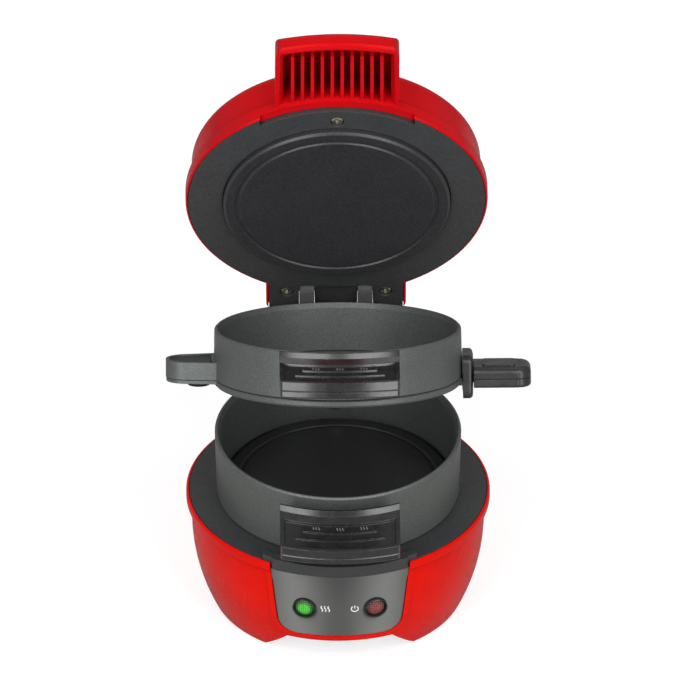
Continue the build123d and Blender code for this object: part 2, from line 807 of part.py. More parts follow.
def upper_ring():
    ring = ring_wall_solid(upper_ring_level, upper_rim, ring_taper / 2)
    ring += handle_tongue(upper_handle_top)
    lug = rise(lug_plan(0, ring_radius - 4), upper_ring_level, lug_top)
    lug -= pillar(ring_radius - ring_wall / 2, 0, 0, 0, cut_reach)
    lug -= rise(cap_plan(0), cap_level - seat_gap, lug_top + 1)
    lug -= pillar(rivet_radius + pin_gap, -pivot_offset, 0, 0, cut_reach)
    lug -= pillar(rivet_top_radius + slide_gap, -pivot_offset, 0, rivet_seat - seat_gap / 2, lug_top)
    ear = polygon((ring_radius - 1.6, ring_hinge_z - 6.5), (ring_hinge_y - 4, ring_hinge_z - knuckle_radius),
                  (ring_hinge_y, ring_hinge_z - knuckle_radius),
                  (ring_hinge_y, ring_hinge_z + knuckle_radius),
                  (ring_hinge_y - 4, ring_hinge_z + knuckle_radius), (ring_radius - 1.6, ring_hinge_z + 6.5))
    knuckle = across(ear, -knuckle_half_width, knuckle_half_width)
    knuckle += spindle(knuckle_radius, ring_hinge_y, ring_hinge_z, -knuckle_half_width, knuckle_half_width)
    knuckle -= spindle(ring_pin_radius + pin_gap, ring_hinge_y, ring_hinge_z, -arm_centre, arm_centre)
    return ring + lug + knuckle


def cap_plan(inset):
    """Plan of the pocket in the lug's top, moved inwards by inset."""
    return lug_plan(lug_rim + inset, ring_radius - 4) - Circle(ring_radius + lug_rim + inset)


def pivot_cap():
    """Flat cover over the plate's pivot, sunk in the lug."""
    return rise(cap_plan(seat_gap), cap_level, cap_level + cap_thickness)


def pivot_rivet():
    low = ear_level - seat_gap
    rivet = pillar(rivet_head_radius, -pivot_offset, 0, low - rivet_head_height, low)
    rivet += pillar(rivet_radius, -pivot_offset, 0, low - seat_gap, rivet_seat + seat_gap)
    return rivet + pillar(rivet_top_radius, -pivot_offset, 0, rivet_seat, rivet_seat + rivet_top_height)


def cooking_plate():
    low = plate_level
    top = plate_level + plate_thickness
    disc = turned((0, low), (plate_radius - 0.9, low), (plate_radius, low + 0.9), (plate_radius, top - 0.5),
                  (plate_radius - 0.5, top), (0, top))
    ear = rise(lug_plan(seat_gap, ring_radius - 4), ear_level, top)
    arm = block(plate_radius - 12, grip_start - guard_thickness - 1.0, -guard_half_width + 1.5,
                guard_half_width - 1.5, low, top)
    middle = low + plate_thickness / 2
    tang = block(plate_radius - 12, grip_start + grip_length - tang_setback, -tang_half_width,
                 tang_half_width, middle - tang_thickness / 2, middle + tang_thickness / 2)
    plate = disc + ear + arm + tang
    plate -= pillar(grip_screw_radius + slide_gap, grip_screw_x, 0, low - 5, top + 5)
    return plate - pillar(rivet_radius + pin_gap, -pivot_offset, 0, low - 5, top + 5)


def tang_slot():
    """Room for the plate's tang through the guard and grip."""
    middle = plate_level + plate_thickness / 2
    half = tang_thickness / 2 + seat_gap
    half_width = tang_half_width + seat_gap
    end = grip_start + grip_length - tang_setback + slide_gap
    return block(plate_radius - 5, end, -half_width, half_width, middle - half, middle + half)


def plate_guard():
    """Curved finger guard between the hot plate and its grip, concentric with the pivot."""
    plan = Pos(-pivot_offset, 0) * (Circle(guard_radius + guard_thickness) - Circle(guard_radius))
    plan &= Pos(grip_start, 0) * Rectangle(40, 2 * guard_half_width)
    guard = rise(plan, plate_level - guard_below, plate_level + guard_above)
    guard = fillet(guard.edges().filter_by(Axis.X), guard_corner)
    guard = fillet(guard.faces().sort_by(Axis.X)[-1].edges(), guard_edge)
    return guard - tang_slot()


def grip_half(low, high, crown, edge):
    """One shell of the grip, with rounded vertical corners, a rounded long edge and a groove."""
    plan = Pos(grip_start + grip_length / 2, 0) * Rectangle(grip_length, 2 * grip_half_width)
    plan = fillet(plan.vertices().group_by(Axis.X)[-1], grip_corner)
    shell = rise(plan, low, high)
    long_edges = [line for line in shell.edges().group_by(Axis.Z)[edge]
                  if line.center().X > grip_start + seat_gap]
    shell = fillet(long_edges, crown)
    groove = grip_start + grip_length - grip_groove_setback
    core = block(0, cut_reach, -grip_half_width + grip_groove_half, grip_half_width - grip_groove_half,
                 low + grip_groove_half * (1 + edge), high + grip_groove_half * edge)
    shell -= block(groove - grip_groove_half, groove + grip_groove_half, -grip_half_width - 1,
                   grip_half_width + 1, low - 1, high + 1) - core
    return shell - tang_slot()


def grip_upper():
    top = plate_level + grip_above
    shell = grip_half(plate_level + grip_split + seat_gap / 2, top, grip_crown, -1)
    pad = Pos(grip_start + grip_pad_setback + grip_pad_length / 2, 0) * RectangleRounded(
        grip_pad_length, 2 * grip_pad_half_width, grip_pad_corner)
    shell += rise(pad, top - grip_pad_rise, top + grip_pad_rise)
    return shell - pillar(grip_screw_radius + pin_gap, grip_screw_x, 0, 0, plate_level + grip_above - 2.6)


def grip_lower():
    shell = grip_half(plate_level - grip_below, plate_level + grip_split - seat_gap / 2, grip_keel, 0)
    shell -= pillar(grip_screw_radius + pin_gap, grip_screw_x, 0, 0, cut_reach)
    return shell - pillar(grip_screw_head + slide_gap, grip_screw_x, 0, 0, plate_level - grip_below + 0.9)


def grip_screw():
    under = plate_level - grip_below + 0.8
    return screw(grip_screw_head, grip_screw_radius, grip_screw_x, 0, under, grip_above + grip_below - 4.6)


# ---- hinge tower, brackets and pins ----
def tower_screw_places():
    return [(side * (tower_half_width + 2.6), lid_hinge_y + step)
            for side in (-1, 1) for step in tower_screw_steps]


def hinge_tower():
    rear = lid_hinge_y + arm_radius
    front = lid_hinge_y - arm_radius
    deck = base_height + tower_rise
    foot_half = bulge_half_width - shell_wall - 0.8
    tower = block(-tower_half_width, tower_half_width, tower_front, rear, shoulder - seat_gap, deck)
    tower += block(-foot_half, foot_half, tower_front + 1.8, rear - back_wall_thickness,
                   shoulder - seat_gap - tower_foot, shoulder - seat_gap)
    inner = arm_centre - arm_width / 2
    arm = block(inner, inner + arm_width, front, rear, deck - 1, lid_hinge_z)
    arm += spindle(arm_radius, lid_hinge_y, lid_hinge_z, inner, inner + arm_width)
    web_top = base_height + web_height
    web = across(polygon((front + 3, deck - 1), (rear, deck - 1), (rear, web_top - 4), (rear - 2.5, web_top),
                         (rear - 6, web_top), (front + 3, web_top - 8)), inner + arm_width - 1,
                         web_half_width)
    tower += both_sides(arm + web)
    wall = block(-inner - 1, inner + 1, rear - back_wall_thickness, rear, deck - 1,
                 base_height + back_wall_height)
    channel = block(-inner + 0.4, inner - 0.4, tower_front - 1, rear - back_wall_thickness, base_height + 1,
                    cut_reach)
    tower = tower - channel + wall
    tower -= spindle(lid_pin_radius + pin_gap, lid_hinge_y, lid_hinge_z, -40, 40)
    return tower - [pillar(plate_screw_radius + pin_gap, x, y, 30, shoulder) for x, y in tower_screw_places()]


def tower_screws():
    under = shoulder - seat_gap - tower_foot - 0.1
    return [screw(2.4, plate_screw_radius, x, y, under, tower_foot + 2.2) for x, y in tower_screw_places()]


def lid_hinge_pin():
    return spindle(lid_pin_radius, lid_hinge_y, lid_hinge_z, -lid_pin_length / 2, lid_pin_length / 2)


def bracket_rivet_levels():
    return [base_height + height for height in bracket_rivet_heights]


def ring_bracket():
    """Steel bracket behind the lower ring that hooks on the tower and carries the upper ring's pin."""
    low = base_height + 3
    foot = tower_front + 0.4
    hook_level = base_height + back_wall_height + slide_gap
    pad = block(-bracket_half_width, bracket_half_width, ring_radius - 2, foot + 1.6, low, lower_rim - 2)
    pad -= pillar(ring_radius + seat_gap, 0, 0, 0, cut_reach)
    rear = lid_hinge_y + 1.6
    outline = polygon((foot, low), (rear - 2, low), (rear, low + 4), (rear, ring_hinge_z - 8),
                      (ring_hinge_y + knuckle_radius, ring_hinge_z),
                      (ring_hinge_y - knuckle_radius, ring_hinge_z),
                      (ring_hinge_y - knuckle_radius, ring_hinge_z - 5), (foot, lower_rim - 2))
    left = bracket_half_width - cheek_thickness
    cheek = across(outline, left, bracket_half_width)
    cheek += spindle(knuckle_radius, ring_hinge_y, ring_hinge_z, left, bracket_half_width)
    bracket = pad + both_sides(cheek)
    bracket += block(-left - 1, left + 1, foot, rear - 2, low, low + 3)
    bracket += block(-bracket_half_width, bracket_half_width, rear - 3, lid_hinge_y + arm_radius - 1,
                     hook_level, hook_level + 2)
    bracket -= spindle(ring_pin_radius + pin_gap, ring_hinge_y, ring_hinge_z, -20, 20)
    return bracket - [bolt(1.6, 0, z, 0, tower_front + 6) for z in bracket_rivet_levels()]


def bracket_rivets():
    bore = ring_radius - ring_wall
    rivets = []
    for z in bracket_rivet_levels():
        shank = bolt(1.5, 0, z, bore - 1.0, tower_front + 3.0)
        rivets.append(shank + bolt(2.8, 0, z, bore - 1.5, bore - 0.4)
                      + bolt(2.8, 0, z, tower_front + 2.1, tower_front + 3.2))
    return rivets


def ring_hinge_pin():
    half = bracket_half_width
    return spindle(ring_pin_radius, ring_hinge_y, ring_hinge_z, -half, half)


# ---- lid ----
def lid_bezel_plan(spread):
    """Underside outline of the lid's bezel: a disc set back at the front, with the hinge tab behind."""
    disc = Circle(lid_bezel_radius + spread)
    disc -= front_zone(lid_bezel_notch_half - spread) - Circle(lid_bezel_notch_radius + spread)
    tab_half = hump_half_width - bezel_edge - slide_gap + spread
    tab_rear = hump_rear - bezel_edge - slide_gap + spread
    return disc + Pos(0, tab_rear / 2) * Rectangle(2 * tab_half, tab_rear)


def arm_slots(low):
    """Room for the tower's arms to turn in the lid, open below and behind."""
    reach = arm_radius + 0.9
    rear = hump_rear + 10
    outline = polygon((lid_hinge_y - reach, low), (rear, low), (rear, lid_hinge_z + reach),
                      (lid_hinge_y, lid_hinge_z + reach), (lid_hinge_y, lid_hinge_z),
                      (lid_hinge_y - reach, lid_hinge_z))
    inner = arm_centre - arm_width / 2 - slot_gap
    slot = across(outline, inner, inner + arm_width + 2 * slot_gap)
    slot += spindle(reach, lid_hinge_y, lid_hinge_z, inner, inner + arm_width + 2 * slot_gap)
    return both_sides(slot)


def lid_dome(side, height, lift):
    """Round lid body up to its crowned top."""
    edge = (side, lid_level + lid_side_height + lift)
    turn = (side - lid_shoulder_run, edge[1] + lid_shoulder_rise)
    crown = (0, lid_level + height)
    round_edge = TangentArc(edge, turn, tangent=(0, 1))
    roof = TangentArc(crown, turn, tangent=(1, 0))
    rest = Polyline(crown, (0, lid_level), (side, lid_level), edge)
    return revolve(Plane.XZ * make_face(round_edge + roof + rest), Axis.Z)


def lid_handle_outline(drop, low_root, low_tip, end):
    """Side outline of the lid handle as (radius, height), its top lowered by drop."""
    root = lid_body_radius - lid_handle_root_depth
    tip_top = lid_level + lid_handle_tip_high - drop
    root_top = lid_level + lid_handle_root_high - drop
    middle = ((root + end) / 2, (tip_top + root_top) / 2 + lid_handle_bulge)
    top = ThreePointArc((end, tip_top), middle, (root, root_top))
    rest = Polyline((root, root_top), (root, lid_level + low_root), (end, lid_level + low_tip),
                    (end, tip_top))
    return make_face(top + rest)


def lid_handle():
    """Hollow handle in front of the lid, open below, with fins inside."""
    outline = lid_handle_outline(0, lid_handle_low, lid_handle_tip_low, lid_handle_end)
    body = front_turn(fillet(outline.vertices().group_by(Axis.X)[-1], lid_handle_round))
    plan = Circle(lid_handle_end + 1) & front_zone(lid_handle_half)
    plan = fillet(plan.vertices().group_by(Axis.Y)[0], lid_handle_corner)
    body &= rise(plan, lid_level, lid_level + lid_height)
    pocket = front_turn(lid_handle_outline(lid_handle_skin, -1.0, -1.0, lid_handle_end - lid_handle_end_wall))
    inside = front_zone(lid_handle_half - lid_handle_wall) - Circle(lid_radius + 1.0)
    pocket &= rise(inside, lid_level - 2, lid_level + lid_height)
    deep = lid_level + lid_handle_tip_low + lid_handle_mouth_depth
    half = lid_handle_half - lid_handle_wall
    end = lid_handle_end - lid_handle_end_wall
    mouth = turned_front((lid_radius + 1, lid_level), (end + 2 * lid_handle_mouth, lid_level), (end, deep),
                         (lid_radius + 1, deep))
    mouth &= frontal(polygon((-half - 2 * lid_handle_mouth, lid_level),
                             (half + 2 * lid_handle_mouth, lid_level),
                             (half, deep), (-half, deep)), -cut_reach, -lid_radius / 2)
    fin = across(polygon((-lid_radius + 2, lid_level + fin_root_low),
                         (-lid_radius + 2, lid_level + lid_height),
                         (-fin_end, lid_level + lid_height), (-fin_end, lid_level + fin_tip_low)),
                 -fin_thickness / 2, fin_thickness / 2)
    fins = [Pos((i - (fin_count - 1) / 2) * fin_pitch, 0, 0) * fin for i in range(fin_count)]
    return body, [pocket - fins, mouth - fins]


def lid_housing():
    ring = turned((0, lid_level), (lid_radius - 0.8, lid_level), (lid_radius, lid_level + 0.8),
                  (lid_radius, lid_level + lid_flange_height - 1.2),
                  (lid_radius - 1.2, lid_level + lid_flange_height), (0, lid_level + lid_flange_height))
    handle, pockets = lid_handle()
    top = lid_level + hump_height
    inside = lid_hinge_y - 30
    side = polygon((inside, lid_level), (hump_rear, lid_level), (hump_rear, top - 11),
                   (hump_rear - 3, top - 4),
                   (hump_rear - 10, top), (inside, top + 2))
    hump_plan = Pos(0, hump_rear / 2) * RectangleRounded(2 * hump_half_width, hump_rear, hump_corner)
    hump = across(side, -hump_half_width, hump_half_width) & rise(hump_plan, lid_level,
                                                                  lid_level + lid_height)
    shell = lid_dome(lid_body_radius, lid_height, 0) + ring + hump + handle
    cavity = lid_dome(lid_body_radius - lid_wall, lid_height - lid_wall, -1.5) - block(
        -hump_half_width, hump_half_width, lid_hinge_y - arm_radius - 5, cut_reach, 0, cut_reach)
    boss = pillar(4.0, 0, -lid_screw_place, lid_level + lid_bezel_thickness, lid_level + lid_side_height + 4)
    boss -= pillar(heater_radius + slide_gap + 2 + slide_gap, 0, 0, 0, cut_reach)
    shell -= cavity - boss
    for pocket in pockets:
        shell -= pocket
    shell -= rise(lid_bezel_plan(slide_gap), lid_level - 1, lid_level + lid_bezel_thickness)
    shell -= front_band(lid_bezel_notch_radius + slide_gap, lid_radius + 0.1,
                        lid_bezel_notch_half - slide_gap,
                        lid_level - 1, lid_level + guard_recess_depth)
    shell -= arm_slots(lid_level - 1)
    shell -= spindle(lid_pin_radius + 2 * pin_gap, lid_hinge_y, lid_hinge_z, -lid_pin_length / 2 - seat_gap,
                     lid_pin_length / 2 + seat_gap)
    screw_end = lid_level + lid_screw_sink + lid_screw_length
    return shell - [pillar(lid_screw_radius + pin_gap, x, y, lid_level, screw_end)
                    for x, y in bezel_screw_places()]


def bezel_screw_places():
    return [(0, -lid_screw_place), (-hinge_screw_x, hinge_screw_y), (hinge_screw_x, hinge_screw_y)]


def lid_bezel():
    top = lid_level + lid_bezel_thickness - seat_gap
    plate = rise(lid_bezel_plan(0) - Circle(heater_radius + slide_gap), lid_level, top)
    well = heater_radius + slide_gap
    inner = heater_radius - heater_ledge
    ledge_low = lid_level - heater_rise + heater_thickness + seat_gap
    ledge_top = ledge_low + heater_ledge_thickness
    plate += turned((inner, ledge_low), (well, ledge_low), (well, lid_level + 1), (well + 2, lid_level + 1),
                    (well + 2, ledge_top), (inner, ledge_top))
    plate -= arm_slots(lid_level - 1)
    between = arm_centre - arm_width / 2
    plate -= block(-between, between, lid_hinge_y - arm_radius, cut_reach, lid_level - 1,
                   lid_level + tab_pocket_depth)
    for x, y in bezel_screw_places():
        plate -= pillar(lid_screw_head + slide_gap, x, y, lid_level - 1, lid_level + lid_screw_sink)
        plate -= pillar(lid_screw_radius + slide_gap, x, y, lid_level - 1, lid_level + 5)
    return plate - [pillar(plate_screw_radius + pin_gap, x, y, ledge_low - 1, ledge_top + 1)
                    for x, y in plate_screw_places()]


def lid_screws():
    return [screw(lid_screw_head, lid_screw_radius, x, y, lid_level + lid_screw_sink - seat_gap / 2,
                  lid_screw_length) for x, y in bezel_screw_places()]


def turned_over(shape, level, new_level):
    """A base heater piece turned upside down for the lid."""
    return Pos(0, 0, new_level) * mirror(Pos(0, 0, -level) * shape, about=Plane.XY)


# ---- assembly in the photographed pose ----
def opened_lid(shape):
    return place(shape, lid_hinge, lid_open)


def opened_ring(shape):
    return place(shape, ring_hinge, ring_open)


def place(shape, axis, angle):
    """Turn a piece, or each of a list of pieces, up about its hinge."""
    if isinstance(shape, list):
        return [piece.rotate(axis, -angle) for piece in shape]
    return shape.rotate(axis, -angle)


def as_drawn(shape):
    return shape


heater = base_height
nodes = {
    "base_housing": (base_housing, as_drawn),
    "base_bezel": (base_bezel, as_drawn),
    "control_panel": (control_panel, as_drawn),
    "preheat_lens": (lambda: lens(-1), as_drawn),
    "power_lens": (lambda: lens(1), as_drawn),
    "lens_rings": (lens_rings, as_drawn),
    "indicator_lamps": (indicator_lamps, as_drawn),
    "lamp_holder": (lamp_holder, as_drawn),
    "bottom_cover": (bottom_cover, as_drawn),
    "rubber_feet": (rubber_feet, as_drawn),
    "cover_screws": (cover_screws, as_drawn),
    "cord_gland": (cord_gland, as_drawn),
    "terminal_block": (terminal_block, as_drawn),
    "lower_heating_plate": (lambda: heating_plate(heater), as_drawn),
    "lower_heating_element": (lambda: heating_element(heater), as_drawn),
    "lower_reflector": (lambda: reflector(heater), as_drawn),
    "lower_plate_screws": (lambda: plate_screws(heater), as_drawn),
    "lower_thermostat": (lambda: thermostat(heater), as_drawn),
    "lower_thermal_fuse": (lambda: thermal_fuse(heater), as_drawn),
    "hinge_tower": (hinge_tower, as_drawn),
    "tower_screws": (tower_screws, as_drawn),
    "lid_hinge_pin": (lid_hinge_pin, as_drawn),
    "ring_bracket": (ring_bracket, as_drawn),
    "bracket_rivets": (bracket_rivets, as_drawn),
    "ring_hinge_pin": (ring_hinge_pin, as_drawn),
    "lower_ring": (lower_ring, as_drawn),
    "lower_ring_handle": (lambda: ring_handle(lower_handle_top), as_drawn),
    "lower_handle_screws": (lambda: handle_screws(lower_handle_top), as_drawn),
    "upper_ring": (upper_ring, opened_ring),
    "upper_ring_handle": (lambda: ring_handle(upper_handle_top), opened_ring),
    "upper_handle_screws": (lambda: handle_screws(upper_handle_top), opened_ring),
    "pivot_cap": (pivot_cap, opened_ring),
    "pivot_rivet": (pivot_rivet, opened_ring),
    "cooking_plate": (cooking_plate, opened_ring),
    "plate_guard": (plate_guard, opened_ring),
    "grip_upper": (grip_upper, opened_ring),
    "grip_lower": (grip_lower, opened_ring),
    "grip_screw": (grip_screw, opened_ring),
    "lid_housing": (lid_housing, opened_lid),
    "lid_bezel": (lid_bezel, opened_lid),
    "lid_screws": (lid_screws, opened_lid),
    "upper_heating_plate": (lambda: turned_over(heating_plate(heater), heater, lid_level), opened_lid),
    "upper_heating_element": (lambda: turned_over(heating_element(heater), heater, lid_level), opened_lid),
    "upper_reflector": (lambda: turned_over(reflector(heater), heater, lid_level), opened_lid),
    "upper_plate_screws": (
        lambda: [turned_over(s, heater, lid_level) for s in plate_screws(heater)], opened_lid),
    "upper_thermal_fuse": (lambda: turned_over(thermal_fuse(heater), heater, lid_level), opened_lid),
}

os.makedirs("parts", exist_ok=True)
for name, (make, pose) in nodes.items():
    shape = pose(make())
    pieces = shape if isinstance(shape, list) else [shape]
    solids = [solid for piece in pieces for solid in piece.solids()]
    export_step(Compound(children=solids) if len(solids) > 1 else solids[0], f"parts/{name}.step")

pivot = opened_ring(pillar(rivet_radius, -pivot_offset, 0, plate_level, upper_ring_level)).center()
print("lid hinge at y, z", lid_hinge_y, lid_hinge_z, "from", -lid_open, "to", lid_stop - lid_open)
print("ring hinge at y, z", ring_hinge_y, ring_hinge_z, "from", -ring_open, "ratio", ring_open / lid_open)
print("plate pivot at", pivot, "about", 0, sin(radians(ring_open)), cos(radians(ring_open)), "to", swing_stop)
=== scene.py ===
import json
import math

import bmesh
import bpy
import numpy
from mathutils import Matrix, Vector
from mathutils.bvhtree import BVHTree


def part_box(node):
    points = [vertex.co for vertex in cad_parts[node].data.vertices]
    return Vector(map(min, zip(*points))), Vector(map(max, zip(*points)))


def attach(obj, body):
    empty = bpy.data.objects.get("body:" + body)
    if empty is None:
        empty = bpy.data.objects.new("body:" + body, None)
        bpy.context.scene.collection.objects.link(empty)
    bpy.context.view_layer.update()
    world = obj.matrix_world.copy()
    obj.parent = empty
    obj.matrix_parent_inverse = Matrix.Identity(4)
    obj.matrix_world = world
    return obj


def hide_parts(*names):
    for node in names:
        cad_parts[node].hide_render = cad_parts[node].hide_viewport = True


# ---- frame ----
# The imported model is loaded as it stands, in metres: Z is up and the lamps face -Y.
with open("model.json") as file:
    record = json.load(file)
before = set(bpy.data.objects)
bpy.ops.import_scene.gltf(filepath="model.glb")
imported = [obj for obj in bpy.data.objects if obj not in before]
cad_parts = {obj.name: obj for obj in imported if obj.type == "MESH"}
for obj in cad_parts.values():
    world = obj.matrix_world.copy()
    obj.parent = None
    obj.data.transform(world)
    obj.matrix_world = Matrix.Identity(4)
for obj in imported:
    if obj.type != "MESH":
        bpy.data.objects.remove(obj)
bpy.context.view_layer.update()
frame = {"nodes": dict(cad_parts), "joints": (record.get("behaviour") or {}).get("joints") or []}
nodes = frame["nodes"]

# ---- camera ----
# A long lens well above the table and a little to the left of the front.
# The middle of the base's top face lies at a known pixel, and one pixel is a known length there.
photo_side = 680
pixel = 0.000463
base_top_pixel = (338.0, 486.0)
base_top = Vector((0, 0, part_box("lower_ring")[0].z))
look_down = math.radians(34)
look_across = math.radians(0.8)
camera_distance = 12.0
camera_depth = 50.0
sensor = 36.0

rightward = Vector((math.cos(look_across), -math.sin(look_across), 0))
sight = Vector((math.sin(look_across) * math.cos(look_down), math.cos(look_across) * math.cos(look_down),
                -math.sin(look_down)))
upward = rightward.cross(sight)
aside = (photo_side / 2 - base_top_pixel[0]) * pixel
above = (base_top_pixel[1] - photo_side / 2) * pixel
aim = base_top + rightward * aside + upward * above

camera = bpy.data.objects.new("camera", bpy.data.cameras.new("camera"))
camera.data.sensor_width = sensor
camera.data.lens = sensor * camera_distance / (photo_side * pixel)
camera.data.clip_end = camera_depth
camera.location = aim - sight * camera_distance
camera.rotation_mode = "QUATERNION"
camera.rotation_quaternion = sight.to_track_quat("-Z", "Y")
bpy.context.scene.collection.objects.link(camera)
bpy.context.scene.camera = camera
bpy.context.scene.view_settings.view_transform = "Standard"

# ---- floor and light ----
# A white table in a dim white room, with two tall soft boxes at the front and a weaker one behind.
# The gap between them is what the glossy handles and the panel show as a dark band in their middles.
# The camera sees table and room as pure white, but the object mirrors them dimmer.
floor_half = 12.0
floor_grey = (0.4, 0.4, 0.4)
floor_glow = 0.72
room_glow = 0.3
pure_white = (1, 1, 1, 1)
lit_point = Vector((0, 0, 0.12))
light_distance = 1.8


def plain_material(name, colour, finish):
    """Principled material with one colour, its finish set on the shader's sockets."""
    material = bpy.data.materials.new(name)
    material.use_nodes = True
    shader = material.node_tree.nodes["Principled BSDF"]
    shader.inputs["Base Color"].default_value = (*colour, 1)
    for socket, value in finish.items():
        shader.inputs[socket].default_value = value
    return material, shader


def glow_by_ray(tree, strength, mirrored, seen):
    """Gives a glow one strength where the object mirrors it and another where the camera sees it."""
    path = tree.nodes.new("ShaderNodeLightPath")
    level = tree.nodes.new("ShaderNodeMapRange")
    level.inputs["To Min"].default_value = mirrored
    level.inputs["To Max"].default_value = seen
    tree.links.new(path.outputs["Is Camera Ray"], level.inputs["Value"])
    tree.links.new(level.outputs["Result"], strength)


def soft_box(name, azimuth, elevation, width, height, radiance):
    """Rectangular studio light at a direction from the object, seen from the front, facing it."""
    lamp = bpy.data.lights.new(name, "AREA")
    lamp.shape = "RECTANGLE"
    lamp.size = width
    lamp.size_y = height
    lamp.energy = radiance * math.pi * width * height
    turn = math.radians(azimuth)
    climb = math.radians(elevation)
    toward = Vector((math.sin(turn) * math.cos(climb), -math.cos(turn) * math.cos(climb), math.sin(climb)))
    box = bpy.data.objects.new(name, lamp)
    box.location = lit_point + toward * light_distance
    box.rotation_mode = "QUATERNION"
    box.rotation_quaternion = (-toward).to_track_quat("-Z", "Y")
    box.visible_camera = False
    bpy.context.scene.collection.objects.link(box)


floor_mesh = bpy.data.meshes.new("floor")
floor_mesh.from_pydata(
    [(-floor_half, -floor_half, 0), (floor_half, -floor_half, 0),
     (floor_half, floor_half, 0), (-floor_half, floor_half, 0)], [], [(0, 1, 2, 3)])
floor = bpy.data.objects.new("floor", floor_mesh)
floor_paint, floor_shader = plain_material(
    "floor_paint", floor_grey, {"Roughness": 0.9, "Specular IOR Level": 0.1, "Emission Color": pure_white})
glow_by_ray(floor_paint.node_tree, floor_shader.inputs["Emission Strength"], mirrored=0.0, seen=floor_glow)
floor_mesh.materials.append(floor_paint)
bpy.context.scene.collection.objects.link(floor)

room = bpy.data.worlds.new("room")
room.use_nodes = True
room_background = room.node_tree.nodes["Background"]
room_background.inputs["Color"].default_value = pure_white
glow_by_ray(room.node_tree, room_background.inputs["Strength"], mirrored=room_glow, seen=1.0)
bpy.context.scene.world = room

soft_box("left_box", azimuth=-33, elevation=31, width=0.95, height=2.3, radiance=4.2)
soft_box("right_box", azimuth=33, elevation=31, width=0.95, height=2.3, radiance=4.2)
soft_box("rear_box", azimuth=180, elevation=55, width=1.6, height=0.45, radiance=1.3)

# ---- base housing ----
# The bowl is one injection moulding in bright red plastic, polished in its tool and arched at the front.
# Gloss drifts a little over the wall, the edges are eased, and light reflected in it is tinted red.
base_red = (0.72, 0.006, 0.002)
base_red_deep = (0.62, 0.004, 0.002)
red_sheen = (1.0, 0.2, 0.12, 1)
moulded_edge = 0.0006
edge_samples = 4
# the part of a noise's range that a tone or a roughness drifts over
tone_span = (0.35, 0.65)
roughness_span = (0.3, 0.7)


def noise(material, grain):
    """Noise over the object's own coordinates. A grain is cells per metre and levels of detail."""
    tree = material.node_tree
    place = tree.nodes.new("ShaderNodeTexCoord")
    texture = tree.nodes.new("ShaderNodeTexNoise")
    texture.inputs["Scale"].default_value = grain[0]
    texture.inputs["Detail"].default_value = grain[1]
    tree.links.new(place.outputs["Object"], texture.inputs["Vector"])
    return texture.outputs["Fac"]


def two_tone(material, shader, grain, dark, light):
    """Colour that drifts between two tones."""
    tree = material.node_tree
    ramp = tree.nodes.new("ShaderNodeValToRGB")
    for element, position, tone in zip(ramp.color_ramp.elements, tone_span, (dark, light)):
        element.position = position
        element.color = (*tone, 1)
    tree.links.new(noise(material, grain), ramp.inputs["Fac"])
    tree.links.new(ramp.outputs["Color"], shader.inputs["Base Color"])


def drifting_roughness(material, shader, grain, low, high):
    """Roughness that drifts between two values."""
    tree = material.node_tree
    drift = tree.nodes.new("ShaderNodeMapRange")
    drift.inputs["From Min"].default_value = roughness_span[0]
    drift.inputs["From Max"].default_value = roughness_span[1]
    drift.inputs["To Min"].default_value = low
    drift.inputs["To Max"].default_value = high
    tree.links.new(noise(material, grain), drift.inputs["Value"])
    tree.links.new(drift.outputs["Result"], shader.inputs["Roughness"])


def relief(material, shader, grain, depth, edge):
    """Fine surface relief of a depth in metres, over edges that are eased to a radius."""
    tree = material.node_tree
    bump = tree.nodes.new("ShaderNodeBump")
    bump.inputs["Strength"].default_value = 1.0
    bump.inputs["Distance"].default_value = depth
    tree.links.new(noise(material, grain), bump.inputs["Height"])
    if edge:
        eased = tree.nodes.new("ShaderNodeBevel")
        eased.samples = edge_samples
        eased.inputs["Radius"].default_value = edge
        tree.links.new(eased.outputs["Normal"], bump.inputs["Normal"])
    tree.links.new(bump.outputs["Normal"], shader.inputs["Normal"])


def surfaced(name, tones, tone_grain, roughness, roughness_grain=None, depth=0.0, depth_grain=None,
             edge=0.0, finish=None):
    """Material with two tones. Its roughness is one value, or a pair where it is given a grain, and it has
    relief where that is given a grain."""
    material, shader = plain_material(name, tones[1], finish or {})
    two_tone(material, shader, tone_grain, *tones)
    if roughness_grain:
        drifting_roughness(material, shader, roughness_grain, *roughness)
    else:
        shader.inputs["Roughness"].default_value = roughness
    if depth_grain:
        relief(material, shader, depth_grain, depth, edge)
    return material


def dress(material, *names):
    """Puts a material on CAD nodes."""
    for name in names:
        for slot in nodes[name].material_slots:
            slot.material = material


def red_plastic(name, deep, colour):
    """Polished red moulding with a faint ripple."""
    return surfaced(
        name, tones=(deep, colour), tone_grain=(22, 2), roughness=(0.22, 0.3), roughness_grain=(60, 2),
        depth=0.00001, depth_grain=(60, 1), edge=moulded_edge,
        finish={"Specular IOR Level": 0.28, "Specular Tint": red_sheen})


dress(red_plastic("base_red_plastic", base_red_deep, base_red), "base_housing")

# ---- bottom cover and feet ----
# A black moulded cover closes the bowl from below, held by four screws in its own deep holes, and the
# gland in the rear wall is of the same plastic. Four rubber feet are pressed into the cover's posts, and
# each has rings moulded in its sole for grip.
foot_sole = 0.0028
foot_corner = 0.0006
foot_shoulder = 0.0004
foot_stem = 0.004
foot_stem_tip = 0.0036
foot_stem_top = 0.0049
foot_round = 0.0005
groove_half = 0.0004
groove_depth = 0.0006
groove_places = (0.75, 0.5, 0.25)
turned_sides = 48
weld_distance = 1e-6


